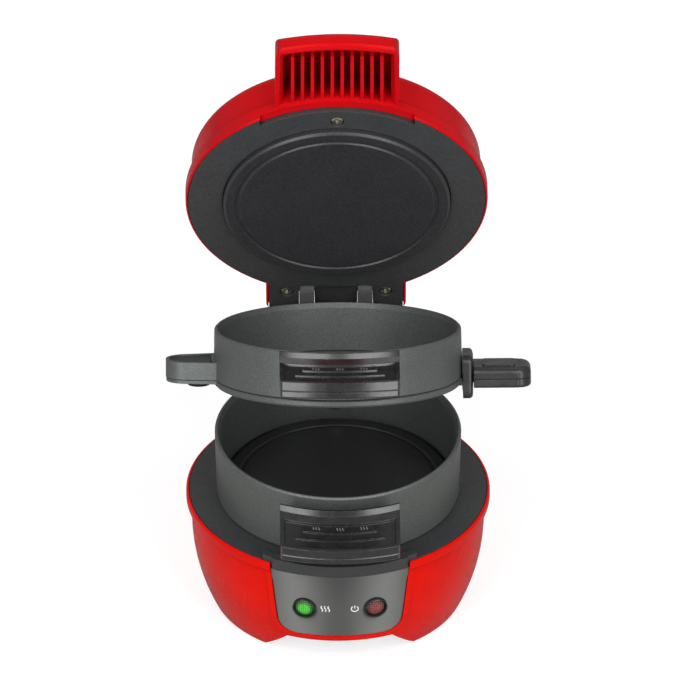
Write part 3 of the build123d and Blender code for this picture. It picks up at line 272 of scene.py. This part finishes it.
def solids_of(name):
    """Corner points of each separate solid in a CAD node."""
    mesh = bmesh.new()
    mesh.from_mesh(nodes[name].data)
    bmesh.ops.remove_doubles(mesh, verts=mesh.verts, dist=weld_distance)
    mesh.verts.index_update()
    mesh.verts.ensure_lookup_table()
    seen = set()
    solids = []
    for start in range(len(mesh.verts)):
        if start in seen:
            continue
        seen.add(start)
        waiting = [start]
        corners = []
        while waiting:
            corner = mesh.verts[waiting.pop()]
            corners.append(corner.co[:])
            for edge in corner.link_edges:
                other = edge.other_vert(corner).index
                if other not in seen:
                    seen.add(other)
                    waiting.append(other)
        solids.append(numpy.array(corners))
    mesh.free()
    return solids


def standing(place, outward):
    """Matrix that puts a piece's own Z along outward, at a place."""
    turn = Vector(outward).to_track_quat("Z", "Y").to_matrix().to_4x4()
    return Matrix.Translation(Vector(place)) @ turn


def finished_piece(name, points, faces, material, body, crease=35):
    """Closed mesh piece with smooth faces and sharp creases, riding on a body."""
    mesh = bpy.data.meshes.new(name)
    mesh.from_pydata([tuple(point) for point in points], [], faces)
    mesh.validate()
    mesh.shade_smooth()
    mesh.set_sharp_from_angle(angle=math.radians(crease))
    mesh.materials.append(material)
    piece = bpy.data.objects.new(name, mesh)
    bpy.context.scene.collection.objects.link(piece)
    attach(piece, body)
    return piece


def turned(profile, place, outward):
    """Points and faces of a closed turned shape: (radius, height) from the top's middle to the base's."""
    points = [Vector((0, 0, profile[0][1]))]
    faces = []
    for radius, height in profile:
        for i in range(turned_sides):
            angle = 2 * math.pi * i / turned_sides
            points.append(Vector((radius * math.cos(angle), radius * math.sin(angle), height)))
    points.append(Vector((0, 0, profile[-1][1])))
    last = len(profile) - 1
    for i in range(turned_sides):
        j = (i + 1) % turned_sides
        faces.append((0, 1 + i, 1 + j))
        for row in range(last):
            top = 1 + row * turned_sides
            low = top + turned_sides
            faces.append((top + i, low + i, low + j, top + j))
        foot = 1 + last * turned_sides
        faces.append((len(points) - 1, foot + j, foot + i))
    matrix = standing(place, outward)
    return [matrix @ point for point in points], faces


satin_black = surfaced(
    "satin_black", tones=((0.016, 0.016, 0.017), (0.026, 0.026, 0.027)), tone_grain=(500, 2),
    roughness=(0.34, 0.5), roughness_grain=(120, 3), depth=0.00005, depth_grain=(1600, 3), edge=moulded_edge)
dress(satin_black, "bottom_cover", "cord_gland")

rubber = surfaced(
    "foot_rubber", tones=((0.013, 0.013, 0.013), (0.026, 0.026, 0.026)), tone_grain=(700, 3),
    roughness=0.8, depth=0.00004, depth_grain=(2500, 2), finish={"Specular IOR Level": 0.25})
for number, corners in enumerate(solids_of("rubber_feet")):
    centre = (corners.min(axis=0) + corners.max(axis=0)) / 2
    sole_radius = (corners[:, 0].max() - corners[:, 0].min()) / 2
    foot_profile = [
        (foot_stem_tip, foot_stem_top), (foot_stem, foot_stem_top - foot_round), (foot_stem, foot_sole),
        (sole_radius - foot_shoulder, foot_sole), (sole_radius, foot_sole - foot_round),
        (sole_radius, foot_corner), (sole_radius - foot_corner, 0.0)]
    for share in groove_places:
        middle = sole_radius * share
        foot_profile += [(middle + groove_half, 0.0), (middle + groove_half / 2, groove_depth),
                         (middle - groove_half / 2, groove_depth), (middle - groove_half, 0.0)]
    foot_points, foot_faces = turned(foot_profile, (centre[0], centre[1], 0), (0, 0, 1))
    foot = finished_piece(f"rubber_foot_{number + 1}", foot_points, foot_faces, rubber, "base")
    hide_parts("rubber_feet")

# ---- screws under the base ----
# Zinc-plated pan-head screws with a cross recess: four hold the cover and four hold the hinge tower.
# Each is made whole, with its crowned head, its recess and its plain shank, where the CAD screw stands.
zinc_colour = (0.5, 0.49, 0.46)
zinc_dark = (0.3, 0.29, 0.26)
# in head radii
recess_half = 0.2
recess_arm = 0.62
recess_slope = 0.07
recess_middle = 0.4
crown_edge = 0.86
head_thickness = 0.6
# in head thicknesses
crown_drop = 0.4
recess_depth = 0.75
# in shank radii
tip_radius = 0.35
screw_crease = 25
end_slack = 2e-5


def plated(name, dull, bright, roughness):
    """Plated metal whose tone and gloss are uneven in small patches."""
    return surfaced(
        name, tones=(dull, bright), tone_grain=(900, 3), roughness=roughness, roughness_grain=(500, 2),
        depth=0.00001, depth_grain=(3000, 2), finish={"Metallic": 1.0})


def screw_place(corners):
    """Top of a screw's head, the direction it faces, and its head radius, shank radius and length."""
    middle = corners.mean(axis=0)
    axis = numpy.linalg.eigh(numpy.cov((corners - middle).T))[1][:, -1]
    along = (corners - middle) @ axis
    ends = []
    for level in (along.min(), along.max()):
        ring = corners[abs(along - level) < end_slack]
        centre = (ring.min(axis=0) + ring.max(axis=0)) / 2
        ends.append((numpy.linalg.norm(ring - centre, axis=1).max(), tuple(centre)))
    ends.sort()
    (shank, tip), (head, top) = ends
    outward = Vector(top) - Vector(tip)
    return Vector(top), outward.normalized(), head, shank, outward.length


def in_disc(u, v):
    """Share of the radius, and place in a round of radius 1, of a point in a square of the same reach."""
    reach = max(abs(u), abs(v))
    bend = reach / math.hypot(u, v) if reach else 0
    return reach, u * bend, v * bend


def closed_disc(points, count, rings):
    """Faces of a square grid of points bent to a disc, closed below by added rings of (radius, height)."""
    faces = [(j * count + i, j * count + i + 1, (j + 1) * count + i + 1, (j + 1) * count + i)
             for j in range(count - 1) for i in range(count - 1)]
    rim = list(range(count)) + [(j + 1) * count - 1 for j in range(1, count)]
    rim += [count * count - 1 - i for i in range(1, count)]
    rim += [(count - 1 - j) * count for j in range(1, count - 1)]
    previous = rim
    for radius, height in rings:
        ring = []
        for index in rim:
            out = Vector((points[index].x, points[index].y, 0)).normalized()
            ring.append(len(points))
            points.append(out * radius + Vector((0, 0, height)))
        for i in range(len(rim)):
            j = (i + 1) % len(rim)
            faces.append((previous[i], ring[i], ring[j], previous[j]))
        previous = ring
    faces.append(tuple(reversed(previous)))
    return faces


def cross_screw(name, corners, material, body):
    """Pan-head screw with a cross recess. The head is a square grid bent to a disc."""
    top, outward, head, shank, length = screw_place(corners)
    thick = head * head_thickness
    stops = [-1, -crown_edge, -recess_arm - recess_slope, -recess_arm, -recess_middle,
             -recess_half - recess_slope, -recess_half]
    stops += [0] + [-stop for stop in reversed(stops)]
    points = []
    for v in stops:
        for u in stops:
            reach, x, y = in_disc(u, v)
            narrow, wide = sorted((abs(u), abs(v)))
            sunk = narrow <= recess_half and wide <= recess_arm
            height = -crown_drop * thick * reach ** 2 - (recess_depth * thick if sunk else 0)
            points.append(Vector((x * head, y * head, height)))
    faces = closed_disc(points, len(stops), (
        (head, -thick), (shank, -thick), (shank, shank - length), (shank * tip_radius, -length)))
    matrix = standing(top, outward)
    points = [matrix @ point for point in points]
    return finished_piece(name, points, faces, material, body, screw_crease)


def cross_screws(node, name, material, body):
    """Replaces each screw of a CAD node."""
    for number, corners in enumerate(solids_of(node)):
        piece = cross_screw(f"{name}_{number + 1}", corners, material, body)
        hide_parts(node)


zinc = plated("zinc_plate", dull=zinc_dark, bright=zinc_colour, roughness=(0.25, 0.42))
cross_screws("cover_screws", "cover_screw", zinc, "base")
cross_screws("tower_screws", "tower_screw", zinc, "base")

# ---- base bezel and hinge tower ----
# Heat-proof charcoal plastic with a fine spark-eroded texture. The bezel frames the lower plate, and the
# tower behind it rises in two arms that hold the lid's steel pin.


def eroded_plastic(name, dark, light, edge):
    """Heat-proof plastic with the texture of a spark-eroded tool."""
    return surfaced(
        name, tones=(dark, light), tone_grain=(1100, 4), roughness=(0.42, 0.56), roughness_grain=(90, 2),
        depth=0.00006, depth_grain=(2200, 3), edge=edge)


charcoal = eroded_plastic(
    "charcoal_plastic", dark=(0.026, 0.027, 0.028), light=(0.04, 0.041, 0.043), edge=moulded_edge)
dress(charcoal, "base_bezel")
arm_grey = eroded_plastic(
    "arm_grey_plastic", dark=(0.05, 0.052, 0.05), light=(0.072, 0.074, 0.072), edge=0.0)
dress(arm_grey, "hinge_tower")
dress(zinc, "lid_hinge_pin")

# ---- control panel ----
# A satin grey fascia clipped into the front of the bowl, sprayed with a fine metallic lacquer.
# The lacquer was drawn round the curve, so light in it spreads up and down but hardly sideways, and its
# facing is taken from the curve itself, which has no facets.
panel_light = (0.205, 0.21, 0.202)
panel_dark = (0.17, 0.174, 0.168)
panel_lean = -0.09
panel_grey = surfaced(
    "panel_lacquer", tones=(panel_dark, panel_light), tone_grain=(3500, 2), roughness=0.65,
    depth=0.000006, depth_grain=(2600, 2),
    finish={"Metallic": 1.0, "Anisotropic": 0.95, "Anisotropic Rotation": 0.25})
panel_tree = panel_grey.node_tree
panel_place = panel_tree.nodes.new("ShaderNodeTexCoord").outputs["Object"]
panel_round = panel_tree.nodes.new("ShaderNodeVectorMath")
panel_round.operation = "CROSS_PRODUCT"
panel_round.inputs[0].default_value = (0, 0, 1)
panel_tree.links.new(panel_place, panel_round.inputs[1])
panel_tree.links.new(panel_round.outputs["Vector"], panel_tree.nodes["Principled BSDF"].inputs["Tangent"])
panel_facing = panel_place
for step, amount in (("MULTIPLY", (1, 1, 0)), ("NORMALIZE", None),
                     ("ADD", (0, 0, panel_lean)), ("NORMALIZE", None)):
    turn = panel_tree.nodes.new("ShaderNodeVectorMath")
    turn.operation = step
    if amount:
        turn.inputs[1].default_value = amount
    panel_tree.links.new(panel_facing, turn.inputs[0])
    panel_facing = turn.outputs["Vector"]
panel_tree.links.new(panel_facing, panel_tree.nodes["Bump"].inputs["Normal"])
dress(panel_grey, "control_panel")

# ---- marks on the panel ----
# White pad-printed signs between the lamps: rising heat beside the green lamp and a power sign beside
# the red one. The ink is a thin film that follows the panel's curve.
ink_white = (0.8, 0.8, 0.78)
ink_thin = (0.72, 0.72, 0.7)
ink_lift = 0.00012
ink_width = 0.0005
sign_height = 0.0032
# the waves of a heat sign, in pitches from its middle
wave_places = (-1, 0, 1)
wave_pitch = 0.0016
wave_swing = 0.0004
heat_sign_x = -0.0068
power_sign_x = 0.0068
power_radius = 0.0016
power_top = 90
power_gap = 38
power_bar = (0.0002, power_radius * 0.6, power_radius * 1.2)
sunk_depth = 0.0001
# a stroke is cast onto the surface from this height over its plan, and the panel's plan stands this far
# in front of the middle
cast_height = 0.05
panel_ahead = 0.06


def wavy_stroke(x, low, height, swing, steps=16):
    """One wavy upright line as plan points."""
    shares = [i / steps for i in range(steps + 1)]
    return [(x + swing * math.sin(2 * math.pi * share), low + height * share) for share in shares]


def arc_stroke(x, y, radius, start, end, steps=24):
    """Arc about a plan point, between two angles in degrees."""
    angles = [math.radians(start + (end - start) * i / steps) for i in range(steps + 1)]
    return [(x + radius * math.cos(angle), y + radius * math.sin(angle)) for angle in angles]


def laid_strokes(name, node, lay, strokes, width, lift, material, body):
    """Raised lines that follow a node's surface. lay turns plan points with a height into the frame."""
    source = nodes[node].data
    surface = BVHTree.FromPolygons([corner.co for corner in source.vertices],
                                   [tuple(face.vertices) for face in source.polygons])
    outward = (lay.to_3x3() @ Vector((0, 0, 1))).normalized()
    points = []
    faces = []
    for stroke in strokes:
        first = len(points)
        for i, (x, y) in enumerate(stroke):
            before = Vector(stroke[max(i - 1, 0)])
            after = Vector(stroke[min(i + 1, len(stroke) - 1)])
            side = (after - before).normalized().orthogonal() * width / 2
            edges = []
            for sign in (-1, 1):
                start = lay @ Vector((x + sign * side.x, y + sign * side.y, cast_height))
                edges.append(surface.ray_cast(start, -outward)[0])
            points += [edges[0] - outward * sunk_depth, edges[0] + outward * lift,
                       edges[1] + outward * lift, edges[1] - outward * sunk_depth]
        last = len(points) - 4
        for near in range(first, last, 4):
            for k in range(4):
                faces.append((near + k, near + (k + 1) % 4, near + 4 + (k + 1) % 4, near + 4 + k))
        faces += [(first + 3, first + 2, first + 1, first), (last, last + 1, last + 2, last + 3)]
    return finished_piece(name, points, faces, material, body)


ink = surfaced("white_ink", tones=(ink_thin, ink_white), tone_grain=(2500, 2), roughness=0.45)
lamp_level = (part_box("lens_rings")[0].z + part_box("lens_rings")[1].z) / 2
# the plan's y goes up from the lamps, and a height over it goes towards -Y
panel_lay = Matrix(((1, 0, 0, 0), (0, 0, -1, -panel_ahead), (0, 1, 0, lamp_level), (0, 0, 0, 1)))
heat_strokes = [wavy_stroke(heat_sign_x + place * wave_pitch, -sign_height / 2, sign_height, wave_swing)
                for place in wave_places]
power_ring = arc_stroke(power_sign_x, 0, power_radius, power_top + power_gap, power_top + 360 - power_gap)
power_strokes = [power_ring, [(power_sign_x, height) for height in power_bar]]
for sign_name, strokes in (("heat_sign", heat_strokes), ("power_sign", power_strokes)):
    laid_strokes(sign_name, "control_panel", panel_lay, strokes, ink_width, ink_lift, ink, "base")

# ---- lamps ----
# Two round lenses of tinted clear plastic sit in black trim rings; a square grid moulded in each dome
# scatters the lamp behind it. The green one glows in its middle, and the red one hardly does.
green_edge = (0.004, 0.06, 0.003)
green_middle = (0.04, 0.5, 0.012)
green_glow = 0.25
red_edge = (0.03, 0.006, 0.005)
red_middle = (0.24, 0.03, 0.02)
red_glow = 0.08
lens_rows = 44
lens_gap = 0.0001
lens_proud = 0.0003
lens_crown = 0.001
lens_rim = 0.0002
lens_stem = 0.0006
lens_depth = 0.0035
lens_crease = 50
grid_pitch = 0.00105
grid_depth = 0.00035
grid_shade = 0.5
# the share of the radius over which the grid dies out at the rim
grid_fade = 0.2
glow_reach = 0.0039
glow_core = glow_reach * 0.5
# the share of the glow that is left at the rim
glow_left = 0.08
glass_colour = (0.8, 0.8, 0.75)


def lens_ring(side):
    """The trim ring on one side: its middle, its axis pointing out of the panel, and its corner points."""
    for corners in solids_of("lens_rings"):
        middle = corners.mean(axis=0)
        if middle[0] * side > 0:
            axis = Vector(numpy.linalg.eigh(numpy.cov((corners - middle).T))[1][:, 0])
            return Vector(middle), axis * (1 if axis.y < 0 else -1), corners


def lens_material(name, edge, centre, glow):
    """Tinted clear plastic, darker at its edge, with a glow in the middle of the lamp."""
    material, shader = plain_material(
        name, centre, {"Roughness": 0.16, "Coat Weight": 0.5, "Coat Roughness": 0.05})
    tree = material.node_tree
    place = tree.nodes.new("ShaderNodeTexCoord")
    flat = tree.nodes.new("ShaderNodeVectorMath")
    flat.operation = "MULTIPLY"
    flat.inputs[1].default_value = (1, 1, 0)
    reach = tree.nodes.new("ShaderNodeVectorMath")
    reach.operation = "LENGTH"
    ramp = tree.nodes.new("ShaderNodeMapRange")
    ramp.interpolation_type = "SMOOTHSTEP"
    ramp.inputs["From Min"].default_value = glow_core
    ramp.inputs["From Max"].default_value = glow_reach
    grid = tree.nodes.new("ShaderNodeTexChecker")
    grid.inputs["Scale"].default_value = 2 / grid_pitch
    grid.inputs["Color1"].default_value = (*centre, 1)
    grid.inputs["Color2"].default_value = (*[part * grid_shade for part in centre], 1)
    tone = tree.nodes.new("ShaderNodeMix")
    tone.data_type = "RGBA"
    tone.inputs["B"].default_value = (*edge, 1)
    shine = tree.nodes.new("ShaderNodeMapRange")
    shine.inputs["To Min"].default_value = glow
    shine.inputs["To Max"].default_value = glow * glow_left
    for source, target in ((place.outputs["Object"], flat.inputs[0]),
                           (flat.outputs["Vector"], reach.inputs[0]),
                           (flat.outputs["Vector"], grid.inputs["Vector"]),
                           (reach.outputs["Value"], ramp.inputs["Value"]),
                           (grid.outputs["Color"], tone.inputs["A"]),
                           (ramp.outputs["Result"], tone.inputs["Factor"]),
                           (ramp.outputs["Result"], shine.inputs["Value"]),
                           (tone.outputs["Result"], shader.inputs["Base Color"]),
                           (tone.outputs["Result"], shader.inputs["Emission Color"]),
                           (shine.outputs["Result"], shader.inputs["Emission Strength"])):
        tree.links.new(source, target)
    return material


def seated_lens(name, node, side, material):
    """Domed lens with a raised grid, made as a square grid of points bent to a disc. Its own origin is at
    its seat, so that its glow is centred on it."""
    middle, outward, corners = lens_ring(side)
    radius = min((Vector(corner) - middle).cross(outward).length for corner in corners) - lens_gap
    seat = min((Vector(corner) - middle).dot(outward) for corner in corners)
    points = []
    for j in range(lens_rows + 1):
        for i in range(lens_rows + 1):
            reach, x, y = in_disc(2 * i / lens_rows - 1, 2 * j / lens_rows - 1)
            x *= radius
            y *= radius
            fade = min(1.0, (1 - reach) / grid_fade)
            grid = abs(math.sin(math.pi * x / grid_pitch)) * abs(math.sin(math.pi * y / grid_pitch))
            height = lens_rim + lens_crown * (1 - reach ** 2) + grid_depth * grid * fade
            points.append(Vector((x, y, height)))
    faces = closed_disc(points, lens_rows + 1, (
        (radius, 0), (radius - lens_stem, 0), (radius - lens_stem, -lens_depth)))
    piece = finished_piece(name, points, faces, material, "base", lens_crease)
    piece.matrix_world = standing(middle + outward * (seat + lens_proud), outward)
    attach(piece, "base")
    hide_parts(node)


green_clear = lens_material("green_lens", green_edge, green_middle, green_glow)
seated_lens("green_lens", "preheat_lens", -1, green_clear)
red_clear = lens_material("red_lens", red_edge, red_middle, red_glow)
seated_lens("red_lens", "power_lens", 1, red_clear)

trim_black = surfaced(
    "trim_black", tones=((0.009, 0.009, 0.009), (0.018, 0.018, 0.018)), tone_grain=(1500, 2),
    roughness=0.3, depth=0.00001, depth_grain=(1500, 2), edge=0.0003)
dress(trim_black, "lens_rings")
dress(satin_black, "lamp_holder")
lamp_glass, glass_shader = plain_material("lamp_glass", glass_colour, {})
drifting_roughness(lamp_glass, glass_shader, grain=(900, 2), low=0.05, high=0.15)
dress(lamp_glass, "indicator_lamps")

# ---- heating plates and what heats them ----
# Cast aluminium plates in a dark smooth non-stick coat, one in the base and one in the lid. Behind each
# are a bent steel-sheathed element, a fuse, a pressed dish and its screws. The base also has the
# thermostat and a cream terminal block.
plate_coat = surfaced(
    "plate_coating", tones=((0.016, 0.016, 0.018), (0.032, 0.032, 0.034)), tone_grain=(1500, 3),
    roughness=(0.28, 0.42), roughness_grain=(60, 3), depth=0.00003, depth_grain=(1500, 3), edge=moulded_edge)
dress(plate_coat, "lower_heating_plate", "upper_heating_plate")
element_steel = plated(
    "element_steel", dull=(0.16, 0.15, 0.14), bright=(0.28, 0.26, 0.23), roughness=(0.4, 0.6))
dress(element_steel, "lower_heating_element", "upper_heating_element")
sheet_metal = plated(
    "pressed_sheet", dull=(0.52, 0.52, 0.52), bright=(0.7, 0.7, 0.7), roughness=(0.3, 0.45))
dress(sheet_metal, "lower_reflector", "upper_reflector", "lower_thermostat", "lower_thermal_fuse",
      "upper_thermal_fuse")
dress(zinc, "lower_plate_screws", "upper_plate_screws")
terminal_cream = surfaced(
    "terminal_cream", tones=((0.52, 0.5, 0.43), (0.62, 0.6, 0.52)), tone_grain=(400, 2), roughness=0.45)
dress(terminal_cream, "terminal_block")

# ---- rings and cooking plate ----
# Both rings and the swinging plate are cast aluminium in a grey non-stick coat. It is sprayed on, so it
# has a fine pebbled surface and a light speckle. A black moulded cap is pressed in over the plate's pivot.
coat_grey = (0.13, 0.14, 0.133)
coat_dark = (0.082, 0.09, 0.085)
ring_coat = surfaced(
    "ring_coating", tones=(coat_dark, coat_grey), tone_grain=(1700, 4), roughness=(0.36, 0.5),
    roughness_grain=(50, 2), depth=0.00009, depth_grain=(1900, 3), edge=0.0004, finish={"Metallic": 0.35})
dress(ring_coat, "lower_ring", "upper_ring", "cooking_plate")

cap_black = surfaced(
    "cap_black", tones=((0.015, 0.016, 0.016), (0.028, 0.029, 0.029)), tone_grain=(1700, 3),
    roughness=0.45, depth=0.00005, depth_grain=(1900, 3), edge=moulded_edge)
dress(cap_black, "pivot_cap")

# ---- ring handles ----
# Glossy black phenolic mouldings screwed to each ring's tongue from below. The sloping face is sunk and
# has grip ribs; the ribs nearest the ring turn up at their ends, and small heat signs stand above them.
handle_edge = 0.0005
# the handles' plan is lifted this far, so that strokes are cast down from above them
handle_above = 0.1
rib_radius = 0.0747
rib_half = 0.0172
rib_end_length = 0.0022
rib_end_width = 0.0009
rib_lift = 0.0006
handle_sign_radius = 0.0727
handle_sign_height = 0.0013
handle_sign_pitch = 0.0013
handle_sign_swing = handle_sign_pitch * 0.2
handle_sign_width = 0.0003
handle_sign_lift = 0.0002
handle_sign_groups = (-0.011, 0.0, 0.011)

gloss_black = surfaced(
    "gloss_black", tones=((0.007, 0.007, 0.008), (0.012, 0.012, 0.013)), tone_grain=(300, 2),
    roughness=(0.22, 0.32), roughness_grain=(180, 3), depth=0.00002, depth_grain=(90, 1), edge=handle_edge,
    finish={"Specular IOR Level": 0.6, "Coat Weight": 0.5, "Coat Roughness": 0.18})
dress(gloss_black, "lower_ring_handle", "upper_ring_handle")
# The heat signs are raised in the same black moulding; their grey is a painted highlight, for light caught
# on the raised marks.
painted_highlight_grey = surfaced(
    "raised_sign_painted_highlight", tones=((0.12, 0.12, 0.115), (0.18, 0.18, 0.175)), tone_grain=(900, 2), roughness=0.4)

# the upper ring's handle has the same plan as the lower one, turned up about the ring's hinge
joints = {joint["name"]: joint for joint in frame["joints"]}
ring_up = -Vector(joints["plate_swing"]["axis"])
ring_back = ring_up.cross(Vector((1, 0, 0)))
hinge_point = Vector(joints["ring_hinge"]["pos_m"])
ring_origin = hinge_point - ring_back * hinge_point.y - ring_up * hinge_point.z
raised_ring = Matrix.Translation(ring_origin) @ Matrix((
    (1, ring_back.x, ring_up.x, 0), (0, ring_back.y, ring_up.y, 0), (0, ring_back.z, ring_up.z, 0),
    (0, 0, 0, 1)))

rib_ends = []
for side in (-1, 1):
    rib_x = side * (rib_half - rib_end_width / 2)
    rib_y = -math.sqrt(rib_radius ** 2 - rib_x ** 2)
    rib_ends.append([(rib_x, rib_y), (rib_x, rib_y + rib_end_length / 2), (rib_x, rib_y + rib_end_length)])
handle_signs = []
for group in handle_sign_groups:
    for place in wave_places:
        sign_x = group + place * handle_sign_pitch
        sign_low = -math.sqrt(handle_sign_radius ** 2 - sign_x ** 2) - handle_sign_height / 2
        handle_signs.append(wavy_stroke(sign_x, sign_low, handle_sign_height, handle_sign_swing))
for node, body, lay in (("lower_ring_handle", "base", Matrix.Identity(4)),
                        ("upper_ring_handle", "ring", raised_ring)):
    lay_high = lay @ Matrix.Translation((0, 0, handle_above))
    laid_strokes(node + "_rib_ends", node, lay_high, rib_ends, rib_end_width, rib_lift, gloss_black, body)
    laid_strokes(node + "_heat_signs", node, lay_high, handle_signs, handle_sign_width, handle_sign_lift,
                 painted_highlight_grey, body)
cross_screws("lower_handle_screws", "lower_handle_screw", zinc, "base")
cross_screws("upper_handle_screws", "upper_handle_screw", zinc, "ring")

# ---- hinge bracket of the rings ----
# A black coated steel bracket is riveted to the back of the lower ring. It hooks on the tower, so the set
# of rings lifts off for washing, and its cheeks carry the upper ring's pin.
bracket_black = surfaced(
    "bracket_coat", tones=((0.022, 0.022, 0.022), (0.04, 0.04, 0.04)), tone_grain=(800, 3), roughness=0.4,
    depth=0.00005, depth_grain=(1400, 3), edge=handle_edge)
dress(bracket_black, "ring_bracket")
dress(zinc, "bracket_rivets", "ring_hinge_pin")

# ---- plate pivot ----
# A shouldered steel rivet holds the plate's ear under the lug, so that the plate can swing out.
# Its head is turned with a rounded rim and a sunk middle, and blackened.
rivet_neck = 0.003
rivet_foot = 0.0043
rivet_foot_thick = 0.0018
rivet_foot_round = 0.0005
rivet_head_thick = 0.0024
rivet_head_round = 0.0004
rivet_head_side = 0.001
rivet_head_slope = 0.0003
rivet_rim_outer = 0.0012
rivet_rim_inner = 0.0022
rivet_dish_edge = 0.0028
rivet_dish = 0.0007
rivet_slack = 1e-5
rivet_corners = solids_of("pivot_rivet")[0]
rivet_heights = (rivet_corners - rivet_corners.mean(axis=0)) @ numpy.array(ring_up)
rivet_low = float(rivet_heights.min())
rivet_tall = float(rivet_heights.max()) - rivet_low
rivet_sole = rivet_corners[rivet_heights - rivet_low < rivet_slack]
rivet_place = Vector((rivet_sole.min(axis=0) + rivet_sole.max(axis=0)) / 2)
rivet_head = max((Vector(corner) - rivet_place).cross(ring_up).length for corner in rivet_corners)
rivet_profile = [
    (rivet_head - rivet_dish_edge, -rivet_dish), (rivet_head - rivet_rim_inner, 0.0),
    (rivet_head - rivet_rim_outer, 0.0), (rivet_head - rivet_head_round, -rivet_head_slope),
    (rivet_head, -rivet_head_side), (rivet_head, rivet_head_round - rivet_head_thick),
    (rivet_head - rivet_head_round, -rivet_head_thick), (rivet_neck, -rivet_head_thick),
    (rivet_neck, rivet_foot_thick - rivet_tall), (rivet_foot, rivet_foot_thick - rivet_tall),
    (rivet_foot, rivet_foot_round - rivet_tall), (rivet_foot - rivet_foot_round, -rivet_tall)]
blackened = plated(
    "blackened_steel", dull=(0.03, 0.03, 0.03), bright=(0.05, 0.05, 0.05), roughness=(0.25, 0.4))
rivet_points, rivet_faces = turned(rivet_profile, rivet_place, -ring_up)
rivet_piece = finished_piece("turned_pivot_rivet", rivet_points, rivet_faces, blackened, "ring")
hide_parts("pivot_rivet")

# ---- plate guard and grip ----
# The cool grip that swings the cooking plate out: two satin black shells screwed together round the
# plate's steel tang, behind a curved guard that keeps fingers off the hot rings.
grip_black = surfaced(
    "grip_black", tones=((0.013, 0.013, 0.014), (0.022, 0.022, 0.023)), tone_grain=(600, 2),
    roughness=(0.26, 0.4), roughness_grain=(150, 3), depth=0.00002, depth_grain=(1800, 2), edge=moulded_edge,
    finish={"Specular IOR Level": 0.6})
dress(grip_black, "plate_guard", "grip_upper", "grip_lower")
grip_screw = cross_screw("grip_cross_screw", solids_of("grip_screw")[0], zinc, "plate")
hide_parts("grip_screw")

# ---- lid ----
# The lid is one red moulding: a round cover, a hollow handle with ten cooling fins, and a box over the
# hinge. A charcoal bezel is screwed to its underside with three screws and frames the upper plate.
# The lid is the same red plastic as the base, but its red is set darker and more crimson: painted shade, for
# the lid lying less lit than the base.
painted_shade_lid_red = (0.54, 0.003, 0.006)
painted_shade_lid_red_deep = (0.46, 0.002, 0.006)
bronze_colour = (0.6, 0.56, 0.48)
bronze_dark = (0.38, 0.35, 0.3)
dress(red_plastic("painted_shade_lid_red_plastic", painted_shade_lid_red_deep, painted_shade_lid_red), "lid_housing")
dress(charcoal, "lid_bezel")
bronze = plated("bronze_plate", dull=bronze_dark, bright=bronze_colour, roughness=(0.25, 0.4))
cross_screws("lid_screws", "lid_screw", bronze, "lid")
